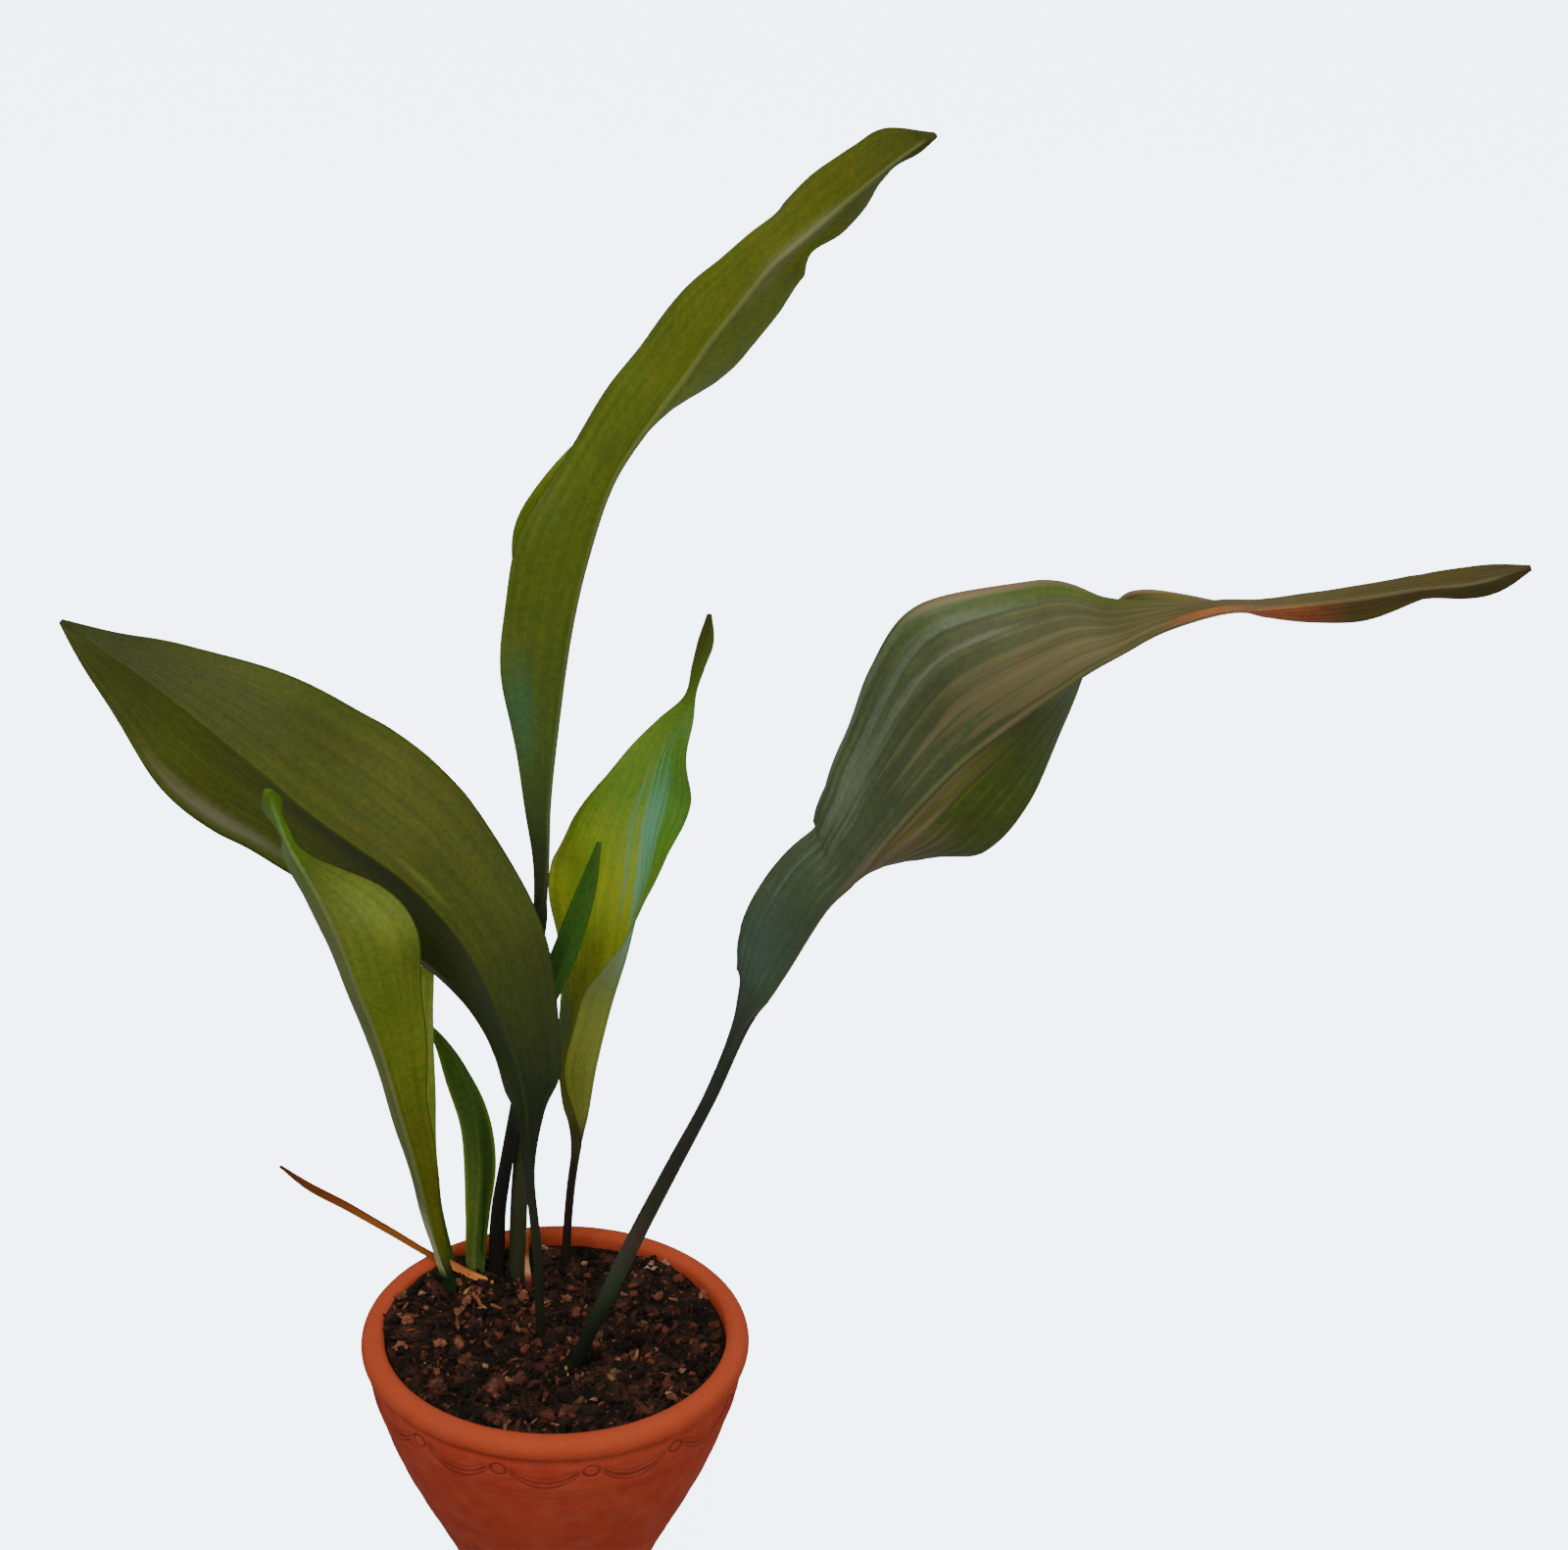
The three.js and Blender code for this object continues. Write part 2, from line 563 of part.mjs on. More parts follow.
// Where a half blade runs: points and face normals at distances from the rib, in the plane across it.
function halfBlade([width, turn, curl], outward, front, distances) {
  const start = THREE.MathUtils.degToRad(turn);
  const bend = THREE.MathUtils.degToRad(curl) / width;
  return distances.map((far) => {
    const angle = start + bend * far;
    const straight = Math.abs(bend) < 1e-6;
    const along = straight ? far * Math.cos(start) : (Math.sin(angle) - Math.sin(start)) / bend;
    const rise = straight ? far * Math.sin(start) : (Math.cos(start) - Math.cos(angle)) / bend;
    const offset = outward.clone().multiplyScalar(along).addScaledVector(front, rise);
    const normal = outward.clone().multiplyScalar(-Math.sin(angle)).addScaledVector(front, Math.cos(angle));
    return { offset, normal, far };
  });
}

// The sections of a leaf along its rib, each with a front row and a back row of points.
function leafSections(leaf, grow) {
  const { stations, ripple } = leaf;
  const spans = stations.length - 1;
  const curve = (pick) => {
    const points = stations.map((s) => new THREE.Vector3(...pick(s)));
    return new THREE.CatmullRomCurve3(points, false, "catmullrom");
  };
  const rib = curve((s) => s.at);
  const left = curve((s) => s.left);
  const right = curve((s) => s.right);
  const stalks = stations.filter((s) => s.radius).length;
  const stalkEnd = stalks ? stations[stalks - 1].radius : RIB_AT_TIP;
  const coreAt = (place) => {
    const i = Math.min(Math.floor(place), spans - 1);
    const from = stations[i].radius ?? stalkEnd;
    if (stations[i + 1].radius) {
      return THREE.MathUtils.lerp(from, stations[i + 1].radius, place - i);
    }
    const share = (place - Math.max(stalks - 1, 0)) / (spans - Math.max(stalks - 1, 0));
    return THREE.MathUtils.lerp(stalkEnd, RIB_AT_TIP, Math.min(1, share ** RIB_TAPER));
  };
  const sections = [];
  let walked = 0;
  for (let i = 0; i < spans; i++) {
    const length = rib.getPoint(i / spans).distanceTo(rib.getPoint((i + 1) / spans));
    const pieces = Math.max(1, Math.round(length / (stations[i + 1].radius ? 2 * STEP : STEP)));
    const end = i === spans - 1 ? pieces : pieces - 1;
    for (let j = 0; j <= end; j++) {
      const place = i + j / pieces;
      sections.push(section(place, walked + (length * j) / pieces));
    }
    walked += length;
  }
  return sections;

  function section(place, run) {
    const t = place / spans;
    const centre = rib.getPoint(t);
    const ahead = rib.getTangent(t);
    const across = new THREE.Vector3().crossVectors(ahead, FRONT).normalize();
    const front = new THREE.Vector3().crossVectors(across, ahead).normalize();
    const core = coreAt(place);
    const halves = [left, right].map((half, side) => {
      const [width, turn, curl] = half.getPoint(t).toArray();
      const wave = Math.sin((2 * Math.PI * run) / ripple.length + RIPPLE_SHIFT * side);
      const isBlade = width > RIPPLE_FROM * core ? 1 : 0;
      const wide = Math.max(width * (1 + ripple.width * wave * isBlade), TIP_WIDTH / 2);
      const outward = across.clone().multiplyScalar(side ? 1 : -1);
      const near = Math.min(core, wide / 2);
      const distances = [near, (near + wide) / 2, wide];
      const points = halfBlade([wide, turn, curl], outward, front, distances);
      for (const point of points) {
        const share = Math.min(1, wide / RIPPLE_FULL) * (point.far / wide) ** 2;
        const lift = isBlade * ripple.height * wave * share;
        point.offset.addScaledVector(point.normal, lift);
        const inCore = Math.sqrt(Math.max(0, 1 - (point.far / core) ** 2));
        point.thick = BLADE + (2 * core * STALK_FLATNESS - BLADE) * inCore;
      }
      return points;
    });
    const ridge = halves[0][0].normal.clone().add(halves[1][0].normal).normalize();
    const ribThick = Math.max(BLADE, 2 * core * STALK_FLATNESS);
    const middle = { offset: new THREE.Vector3(), far: 0, normal: ridge, thick: ribThick };
    const row = [...halves[0].slice().reverse(), middle, ...halves[1]];
    const grown = (point) => point.offset.clone().multiplyScalar(1 + grow / Math.max(point.far, core));
    const face = (sign) =>
      row.map((p) => grown(p).addScaledVector(p.normal, sign * (p.thick / 2 + grow)).add(centre));
    return { front: face(1), back: face(-1), centre, ahead };
  }
}

// A closed skin over sections: two faces split alike, two edges and two ends.
function skin(sections) {
  const wide = sections[0].front.length;
  const points = sections.flatMap((s) => [...s.front, ...s.back]);
  const at = (i, side, k) => i * 2 * wide + side * wide + k;
  const triangles = [];
  for (let i = 0; i + 1 < sections.length; i++) {
    for (let k = 0; k + 1 < wide; k++) {
      const [a, b, c, d] = [at(i, 0, k), at(i, 0, k + 1), at(i + 1, 0, k), at(i + 1, 0, k + 1)];
      triangles.push([a, b, d], [a, d, c]);
      const [e, f, g, h] = [a + wide, b + wide, c + wide, d + wide];
      triangles.push([e, h, f], [e, g, h]);
    }
    for (const [k, turned] of [
      [0, false],
      [wide - 1, true],
    ]) {
      const [a, b, c, d] = [at(i, 0, k), at(i, 1, k), at(i + 1, 0, k), at(i + 1, 1, k)];
      const pair = [
        [a, c, d],
        [a, d, b],
      ];
      triangles.push(...(turned ? pair.map(([p, q, r]) => [p, r, q]) : pair));
    }
  }
  const last = sections.length - 1;
  for (let k = 0; k + 1 < wide; k++) {
    const [a, b, c, d] = [at(0, 0, k), at(0, 0, k + 1), at(0, 1, k), at(0, 1, k + 1)];
    triangles.push([a, c, d], [a, d, b]);
    const [e, f, g, h] = [at(last, 0, k), at(last, 0, k + 1), at(last, 1, k), at(last, 1, k + 1)];
    triangles.push([e, h, g], [e, f, h]);
  }
  return fromLists(points, triangles);
}

// The plain hole that a stalk stands in, from the rhizome's hollow to above the soil.
function stalkHole(leaf) {
  const above = SOIL_LEVEL + HOLE_ABOVE;
  const sections = leafSections(leaf, HOLE_GAP);
  const count = sections.findIndex((s) => s.centre.z > above) + 1;
  const used = sections.slice(0, count);
  const down = used[0].ahead.clone().multiplyScalar(-HOLE_BELOW);
  const lower = (row) => row.map((p) => p.clone().add(down));
  used.unshift({ front: lower(used[0].front), back: lower(used[0].back) });
  return toSolid(skin(used));
}

function makeMesh(name, geometry) {
  const material = new THREE.MeshStandardMaterial({ metalness: 0, ...MATERIALS[name] });
  const mesh = new THREE.Mesh(geometry, material);
  mesh.name = name;
  return mesh;
}

const plant = new THREE.Group();
const rooted = Object.values(LEAVES).filter((leaf) => leaf.stations[0].at[2] < SOIL_LEVEL);
const holes = [makeRhizome(RHIZOME_GAP), ...rooted.map(stalkHole)];
plant.add(makeMesh("pot", makePot()));
plant.add(makeMesh("soil", makeSoil(holes)));
plant.add(makeMesh("rhizome", toGeometry(makeRhizome(0))));
for (const [name, leaf] of Object.entries(LEAVES)) {
  plant.add(makeMesh(name, skin(leafSections(leaf, 0))));
}

export default plant;
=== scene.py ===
"""Looks of a potted cast iron plant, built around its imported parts.

Sizes are in millimetres and become metres in the meshes. +Z is up, the origin is the centre of
the pot's foot, and the front is the -Y side.
"""

import sys

import json
import logging
import math
from collections.abc import Iterator
from dataclasses import dataclass
from enum import Enum

import bpy
import numpy as np
from mathutils import Matrix, Vector, noise
from mathutils.geometry import delaunay_2d_cdt

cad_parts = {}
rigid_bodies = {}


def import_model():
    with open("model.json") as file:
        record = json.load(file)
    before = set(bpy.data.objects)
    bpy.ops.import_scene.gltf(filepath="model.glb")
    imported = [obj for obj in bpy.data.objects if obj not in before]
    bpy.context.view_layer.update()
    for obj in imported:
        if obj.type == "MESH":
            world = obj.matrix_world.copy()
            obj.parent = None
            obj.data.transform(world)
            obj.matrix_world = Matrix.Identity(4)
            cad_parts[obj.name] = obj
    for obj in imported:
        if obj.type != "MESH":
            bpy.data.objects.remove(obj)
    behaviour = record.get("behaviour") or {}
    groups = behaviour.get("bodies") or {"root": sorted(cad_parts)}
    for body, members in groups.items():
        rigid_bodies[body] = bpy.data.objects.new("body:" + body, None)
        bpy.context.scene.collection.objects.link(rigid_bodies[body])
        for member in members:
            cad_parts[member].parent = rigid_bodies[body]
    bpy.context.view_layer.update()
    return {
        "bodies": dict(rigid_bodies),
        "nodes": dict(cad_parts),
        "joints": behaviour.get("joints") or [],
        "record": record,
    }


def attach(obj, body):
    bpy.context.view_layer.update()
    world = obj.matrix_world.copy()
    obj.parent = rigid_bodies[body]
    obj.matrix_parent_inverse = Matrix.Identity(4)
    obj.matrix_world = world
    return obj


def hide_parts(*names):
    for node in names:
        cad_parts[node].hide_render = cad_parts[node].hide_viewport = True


MM = 0.001
BODY = "root"
LOG = logging.getLogger("plant")
Point = tuple[float, float, float]
# Output of a node that another node takes when none is named
MAIN_OUTPUT = {"ShaderNodeMix": 2, "ShaderNodeAttribute": 1}
# Inputs are named by number where a node has several of one name. A mix of colours takes its share
# at 0 and its colours at 6 and 7. A map range takes its value at 0, the range that it comes from at
# 1 and 2, and the range that it goes to at 3 and 4.
# A map range from what a noise texture gives: nearly all of it lies between these two
FROM_NOISE = {1: 0.3, 2: 0.7}
# A map range that starts and ends softly
SOFT = {"interpolation_type": "SMOOTHSTEP"}


def linear(colour: str) -> tuple[float, float, float, float]:
    """Turns an sRGB hex colour to linear light.

    Args:
        colour: six hex digits.

    Returns:
        Red, green, blue and an alpha of one.
    """
    values = [int(colour[i : i + 2], 16) / 255 for i in (0, 2, 4)]
    light = [v / 12.92 if v <= 0.04045 else ((v + 0.055) / 1.055) ** 2.4 for v in values]
    return (light[0], light[1], light[2], 1.0)


def add_node(
    tree: bpy.types.NodeTree, kind: str, inputs: dict | None = None, **settings: object
) -> bpy.types.Node:
    """Adds a shader node with its settings, values and links.

    Args:
        tree: the node tree to add to.
        kind: the node's type, without its prefix.
        inputs: a value, a node or a socket for each input, by name or number.
        settings: the node's own settings; stops gives a colour ramp its places and colours.

    Returns:
        The new node.
    """
    node = tree.nodes.new("ShaderNode" + kind)
    for name, value in settings.items():
        if name != "stops":
            setattr(node, name, value)
            continue
        elements = node.color_ramp.elements
        while len(elements) < len(value):
            elements.new(1.0)
        for element, (place, colour) in zip(elements, value):
            element.position = place
            element.color = linear(colour)
    for key, value in (inputs or {}).items():
        if isinstance(value, bpy.types.Node):
            value = value.outputs[MAIN_OUTPUT.get(value.bl_idname, 0)]
        if isinstance(value, bpy.types.NodeSocket):
            tree.links.new(value, node.inputs[key])
        else:
            node.inputs[key].default_value = value
    return node


def new_material(name: str) -> tuple[bpy.types.Material, bpy.types.NodeTree]:
    """Makes a material with an empty node tree.

    Args:
        name: the material's name.

    Returns:
        The material and its tree.
    """
    material = bpy.data.materials.new(name)
    material.use_nodes = True
    material.node_tree.nodes.clear()
    return material, material.node_tree


def close_material(tree: bpy.types.NodeTree, inputs: dict) -> None:
    """Adds the surface shader and the output.

    Args:
        tree: the material's tree.
        inputs: what the surface shader's inputs take.
    """
    shader = add_node(tree, "BsdfPrincipled", inputs)
    add_node(tree, "OutputMaterial", {"Surface": shader})


def spline(points: np.ndarray, places: np.ndarray) -> tuple[np.ndarray, np.ndarray]:
    """A smooth curve through points, with a station at each whole number.

    Args:
        points: one row for each station.
        places: where to read the curve.

    Returns:
        The curve's points and its slopes.
    """
    ends = np.vstack([2 * points[0] - points[1], points, 2 * points[-1] - points[-2]])
    first = np.clip(places.astype(int), 0, len(points) - 2)
    t = (places - first)[:, None]
    p0, p1, p2, p3 = (ends[first + k] for k in range(4))
    a, b = (p2 - p0) / 2, (p3 - p1) / 2
    square, cube = 3 * (p2 - p1) - 2 * a - b, 2 * (p1 - p2) + a + b
    return p1 + t * (a + t * (square + t * cube)), a + t * (2 * square + 3 * t * cube)


def smooth(value: np.ndarray, low: float, high: float) -> np.ndarray:
    """A smooth step from 0 at low to 1 at high."""
    t = np.clip((value - low) / (high - low), 0, 1)
    return t * t * (3 - 2 * t)


def turns(count: int) -> np.ndarray:
    """Even angles round a circle, in radians."""
    return np.arange(count) * 2 * math.pi / count


def unit(rows: np.ndarray) -> np.ndarray:
    """Each row at unit length."""
    return rows / np.maximum(np.linalg.norm(rows, axis=-1, keepdims=True), 1e-9)


def make_piece(
    name: str,
    points: np.ndarray,
    faces: list,
    materials: list[bpy.types.Material],
    fields: dict[str, np.ndarray] | None = None,
) -> bpy.types.Object:
    """Makes a smooth mesh object that rides on the plant.

    Args:
        name: the piece's name.
        points: its vertices in millimetres.
        faces: its faces, as lists of vertex numbers.
        materials: its materials.
        fields: values for each vertex, single or by threes, which its materials read.

    Returns:
        The object.
    """
    mesh = bpy.data.meshes.new(name)
    mesh.from_pydata((points * MM).tolist(), [], faces)
    for key, values in (fields or {}).items():
        kind, slot = ("FLOAT_VECTOR", "vector") if values.ndim > 1 else ("FLOAT", "value")
        field = mesh.attributes.new(key, kind, "POINT")
        field.data.foreach_set(slot, np.ascontiguousarray(values, np.float32).ravel())
    for material in materials:
        mesh.materials.append(material)
    mesh.polygons.foreach_set("use_smooth", [True] * len(mesh.polygons))
    mesh.validate()
    piece = bpy.data.objects.new(name, mesh)
    bpy.context.scene.collection.objects.link(piece)
    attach(piece, BODY)
    LOG.info("%s: %d faces", name, len(mesh.polygons))
    return piece


def ring_faces(rows: int, sides: int) -> list[tuple[int, int, int, int]]:
    """Four-sided faces between rings of points, one ring after another, facing out.

    Args:
        rows: how many rings there are.
        sides: how many points a ring has.

    Returns:
        The faces.
    """
    low, j = np.meshgrid(np.arange(rows - 1) * sides, np.arange(sides), indexing="ij")
    after = (j + 1) % sides
    faces = np.stack([low + j, low + after, low + sides + after, low + sides + j], -1)
    return [tuple(face) for face in faces.reshape(-1, 4).tolist()]


@dataclass(frozen=True)
class Terracotta:
    """Terracotta, thrown and fired without a glaze: matt, chalky, and mottled where lime came out."""

    body: str = "BC442A"
    pale: str = "C04E32"
    deep: str = "B03E28"
    # Painted light: the lighter colour laid over the pot's top, rim and all
    rim: str = "C0502E"
    lime: str = "AE6456"
    # Dirt in the incised lines, and painted shade of the grooves
    dirt_and_groove_shade: str = "4E1810"
    mottle_mm: float = 9.0
    lime_mm: float = 13.0
    grain_mm: float = 0.7
    relief_mm: float = 0.12
    lime_share: float = 0.22
    # Heights over which the painted light on the pot's top comes in, and its share
    painted_top_light_from: float = 105.5
    painted_top_light_full: float = 113.5
    painted_top_light_share: float = 0.85
    roughness: float = 0.88
    roughness_spread: float = 0.08

    def material(self) -> bpy.types.Material:
        """Makes the material.

        Returns:
            The material, which reads the pot's field of incised lines.
        """
        material, tree = new_material("terracotta_thrown_unglazed")
        place = add_node(tree, "TexCoord").outputs["Object"]
        # Clouds of warmer and duller clay, as broad as the mottling on the wall
        mottle = add_node(
            tree, "TexNoise", {"Vector": place, "Scale": 1 / (self.mottle_mm * MM), "Detail": 5.0}
        )
        clay = add_node(
            tree, "ValToRGB", {0: mottle}, stops=((0.3, self.deep), (0.5, self.body), (0.72, self.pale))
        )
        # Lime bloom in soft patches
        bloom = add_node(
            tree, "TexNoise", {"Vector": place, "Scale": 1 / (self.lime_mm * MM), "Detail": 7.0}
        )
        bloom_share = add_node(
            tree, "MapRange", {0: bloom, 1: 0.5, 2: 0.78, 3: 0.0, 4: self.lime_share}, **SOFT
        )
        bloomed = add_node(tree, "Mix", {0: bloom_share, 6: clay, 7: linear(self.lime)}, data_type="RGBA")
        # Painted light: the pot is laid in a lighter colour towards its top, as where the lamp above
        # falls on the rim
        height = add_node(tree, "SeparateXYZ", {0: place}).outputs["Z"]
        painted_top_light_share = add_node(
            tree,
            "MapRange",
            {0: height, 1: self.painted_top_light_from * MM, 2: self.painted_top_light_full * MM, 3: 0.0, 4: self.painted_top_light_share},
            **SOFT,
        )
        lighter = add_node(tree, "Mix", {0: painted_top_light_share, 6: bloomed, 7: linear(self.rim)}, data_type="RGBA")
        # Dirt and painted shade laid in the incised lines
        lines = add_node(tree, "Attribute", attribute_name="incised").outputs["Fac"]
        soiled_and_shaded = add_node(tree, "Mix", {0: lines, 6: lighter, 7: linear(self.dirt_and_groove_shade)}, data_type="RGBA")
        # Sand in the clay, drawn at the coarse end of real grit so that it shows
        grain = add_node(
            tree, "TexNoise", {"Vector": place, "Scale": 1 / (self.grain_mm * MM), "Detail": 3.0}
        )
        speck = add_node(tree, "MapRange", {0: grain, **FROM_NOISE, 3: 0.9, 4: 1.1})
        colour = add_node(tree, "HueSaturation", {"Value": speck.outputs[0], "Color": soiled_and_shaded})
        bump = add_node(tree, "Bump", {"Height": grain, "Distance": self.relief_mm * MM, "Strength": 0.5})
        rough = add_node(
            tree,
            "MapRange",
            {
                0: mottle,
                **FROM_NOISE,
                3: self.roughness + self.roughness_spread,
                4: self.roughness - self.roughness_spread,
            },
        )
        close_material(
            tree,
            {
                "Base Color": colour,
                "Roughness": rough.outputs[0],
                "Specular IOR Level": 0.2,
                "Normal": bump,
            },
        )
        return material


@dataclass(frozen=True)
class Crumbly:
    """Loose matter such as peat, bark or grit: matt, uneven, and darker where it is damp."""

    name: str
    stops: tuple[tuple[float, str], ...]
    grain_mm: float
    spread: float = 0.3
    roughness: float = 0.95
    relief_mm: float = 0.25

    def material(self) -> bpy.types.Material:
        """Makes the material.

        Returns:
            The material, which reads each bit's own tone.
        """
        material, tree = new_material(self.name)
        place = add_node(tree, "TexCoord").outputs["Object"]
        grain = add_node(
            tree, "TexNoise", {"Vector": place, "Scale": 1 / (self.grain_mm * MM), "Detail": 5.0}
        )
        tone = add_node(tree, "Attribute", attribute_name="tone").outputs["Fac"]
        spread = add_node(tree, "MapRange", {0: grain, 1: 0.25, 2: 0.75, 3: -self.spread, 4: self.spread})
        mixed = add_node(tree, "Math", {0: spread, 1: tone}, operation="ADD", use_clamp=True)
        colour = add_node(tree, "ValToRGB", {0: mixed}, stops=self.stops)
        bump = add_node(tree, "Bump", {"Height": grain, "Distance": self.relief_mm * MM, "Strength": 0.7})
        close_material(
            tree,
            {
                "Base Color": colour,
                "Roughness": self.roughness,
                "Specular IOR Level": 0.15,
                "Normal": bump,
            },
        )
        return material


@dataclass(frozen=True)
class Patch:
    """A soft patch on a leaf: its middle and reach, across as shares of a half and along as shares
    of the length, with its colour, its strength and how much the streaks fray it. Some are the leaf's
    own colour; others are painted sheen, painted highlight or painted shade."""

    across: float
    along: float
    wide: float
    long: float
    colour: str
    strength: float
    fray: float = 0.9


@dataclass(frozen=True)
class LeafSkin:
    """Living leaf with a waxy skin: satin, with fine parallel veins from stalk to tip.

    left and right hold the colours of the two halves by share of the leaf's length, and stalk those
    of both before them.
    """

    name: str
    left: tuple[tuple[float, str], ...]
    right: tuple[tuple[float, str], ...]
    rib: str
    margin: str
    stalk: tuple[tuple[float, str], ...] = ()
    side_blend: float = 0.04
    blade_from: float = 3.0
    blade_full: float = 6.0
    rib_mm: float = 0.9
    rib_share: float = 0.3
    margin_mm: float = 0.7
    margin_share: float = 0.4
    veins: int = 13
    vein_share: float = 0.09
    vein_sway: float = 0.35
    streak_lanes: float = 10.4
    streak_mm: float = 83.0
    cloud_mm: float = 22.0
    grain_mm: float = 0.9
    relief_mm: float = 0.12
    streak_share: float = 0.15
    speck_mm: float = 2.2
    speck_turn: float = 0.022
    speck_share: float = 0.07
    roughness: float = 0.5
    shine: float = 0.3
    patches_with_painted_light: tuple[Patch, ...] = ()

    def material(self, length: float) -> bpy.types.Material:
        """Makes the material.

        Args:
            length: the leaf's length in millimetres.

        Returns:
            The material, which reads each point's place on the leaf.
        """
        material, tree = new_material(self.name)
        leaf = add_node(tree, "SeparateXYZ", {0: add_node(tree, "Attribute", attribute_name="place")})
        across, along, half = (leaf.outputs[axis] for axis in "XYZ")
        object_place = add_node(tree, "TexCoord").outputs["Object"]
        off_rib = add_node(tree, "Math", {0: across}, operation="ABSOLUTE")
        side = add_node(tree, "MapRange", {0: across, 1: -self.side_blend, 2: self.side_blend}, **SOFT)
        left, right = (
            add_node(tree, "ValToRGB", {0: along}, stops=self.stalk + half_stops)
            for half_stops in (self.left, self.right)
        )
        base = add_node(tree, "Mix", {0: side.outputs[0], 6: left, 7: right}, data_type="RGBA")
        # Streaks of lighter and darker tissue that run with the veins
        lanes = add_node(tree, "Math", {0: across, 1: self.streak_lanes}, operation="MULTIPLY")
        drift = add_node(tree, "Math", {0: along, 1: length / self.streak_mm}, operation="MULTIPLY")
        run = add_node(tree, "CombineXYZ", {0: lanes, 1: drift, 2: half})
        streaks = add_node(tree, "TexNoise", {"Vector": run, "Scale": 1.0, "Detail": 4.0})
        streak = add_node(
            tree,
            "MapRange",
            {0: streaks, **FROM_NOISE, 3: 1 - self.streak_share, 4: 1 + self.streak_share},
        )
        # The parallel veins themselves, as thin darker lines
        sway = add_node(tree, "MapRange", {0: streaks, 3: -self.vein_sway, 4: self.vein_sway})
        lane = add_node(
            tree, "Math", {0: across, 1: float(self.veins), 2: sway}, operation="MULTIPLY_ADD"
        )
        turn = add_node(tree, "Math", {0: lane, 1: 2 * math.pi}, operation="MULTIPLY")
        wave = add_node(tree, "Math", {0: turn}, operation="COSINE")
        vein = add_node(tree, "MapRange", {0: wave, 1: 0.1, 2: 1.0, 3: 0.0, 4: 1.0}, **SOFT)
        # Cloudy growth tone over a few centimetres, in which the veins fade in and out
        cloud = add_node(
            tree, "TexNoise", {"Vector": object_place, "Scale": 1 / (self.cloud_mm * MM), "Detail": 4.0}
        )
        fade = add_node(
            tree,
            "MapRange",
            {0: cloud, 1: 0.4, 2: 0.65, 3: -0.15 * self.vein_share, 4: -self.vein_share},
        )
        lined = add_node(tree, "Math", {0: vein, 1: fade, 2: streak}, operation="MULTIPLY_ADD")
        cloudy = add_node(tree, "MapRange", {0: cloud, **FROM_NOISE, 3: 0.9, 4: 1.1})
        value = add_node(tree, "Math", {0: lined, 1: cloudy}, operation="MULTIPLY")
        colour = add_node(tree, "HueSaturation", {"Value": value, "Color": base})
        # Patches of the leaf's own colour, and of painted sheen, painted highlight and painted shade
        for patch in self.patches_with_painted_light:
            colour = self.add_patch(tree, colour, patch, across, along, streaks)
        # Fine specks of greener and browner tissue, as old leaves have
        speck = add_node(
            tree,
            "TexNoise",
            {"Vector": object_place, "Scale": 1 / (self.speck_mm * MM), "Detail": 3.0, "Roughness": 0.6},
        )
        hue, light = (
            add_node(tree, "MapRange", {0: speck, 1: 0.35, 2: 0.65, 3: middle - reach, 4: middle + reach})
            for middle, reach in ((0.5, self.speck_turn), (1.0, -self.speck_share))
        )
        colour = add_node(
            tree, "HueSaturation", {"Hue": hue.outputs[0], "Value": light.outputs[0], "Color": colour}
        )
        # Midrib and margin, both only on the blade
        blade = add_node(
            tree, "MapRange", {0: half, 1: self.blade_from * MM, 2: self.blade_full * MM}, **SOFT
        )
        from_rib = add_node(tree, "Math", {0: off_rib, 1: half}, operation="MULTIPLY")
        rib = add_node(
            tree,
            "MapRange",
            {0: from_rib, 1: self.rib_mm * MM * 0.4, 2: self.rib_mm * MM, 3: self.rib_share, 4: 0.0},
            **SOFT,
        )
        rib_on = add_node(tree, "Math", {0: rib, 1: blade}, operation="MULTIPLY")
        colour = add_node(tree, "Mix", {0: rib_on, 6: colour, 7: linear(self.rib)}, data_type="RGBA")
        from_margin = add_node(tree, "Math", {0: half, 1: from_rib}, operation="SUBTRACT")
        margin = add_node(
            tree,
            "MapRange",
            {0: from_margin, 1: 0.0, 2: self.margin_mm * MM, 3: self.margin_share, 4: 0.0},
            **SOFT,
        )
        margin_on = add_node(tree, "Math", {0: margin, 1: blade}, operation="MULTIPLY")
        colour = add_node(
            tree, "Mix", {0: margin_on, 6: colour, 7: linear(self.margin)}, data_type="RGBA"
        )
        # The veins lie a little below the skin between them, and the skin has a fine grain
        grain = add_node(tree, "TexNoise", {"Vector": object_place, "Scale": 1 / (self.grain_mm * MM)})
        height = add_node(tree, "Math", {0: vein, 1: -0.8, 2: grain}, operation="MULTIPLY_ADD")
        bump = add_node(
            tree, "Bump", {"Height": height, "Distance": self.relief_mm * MM, "Strength": 0.6}
        )
        rough = add_node(
            tree,
            "MapRange",
            {0: streaks, **FROM_NOISE, 3: self.roughness - 0.06, 4: self.roughness + 0.08},
        )
        close_material(
            tree,
            {
                "Base Color": colour,
                "Roughness": rough.outputs[0],
                "Specular IOR Level": self.shine,
                "Normal": bump,
            },
        )
        return material

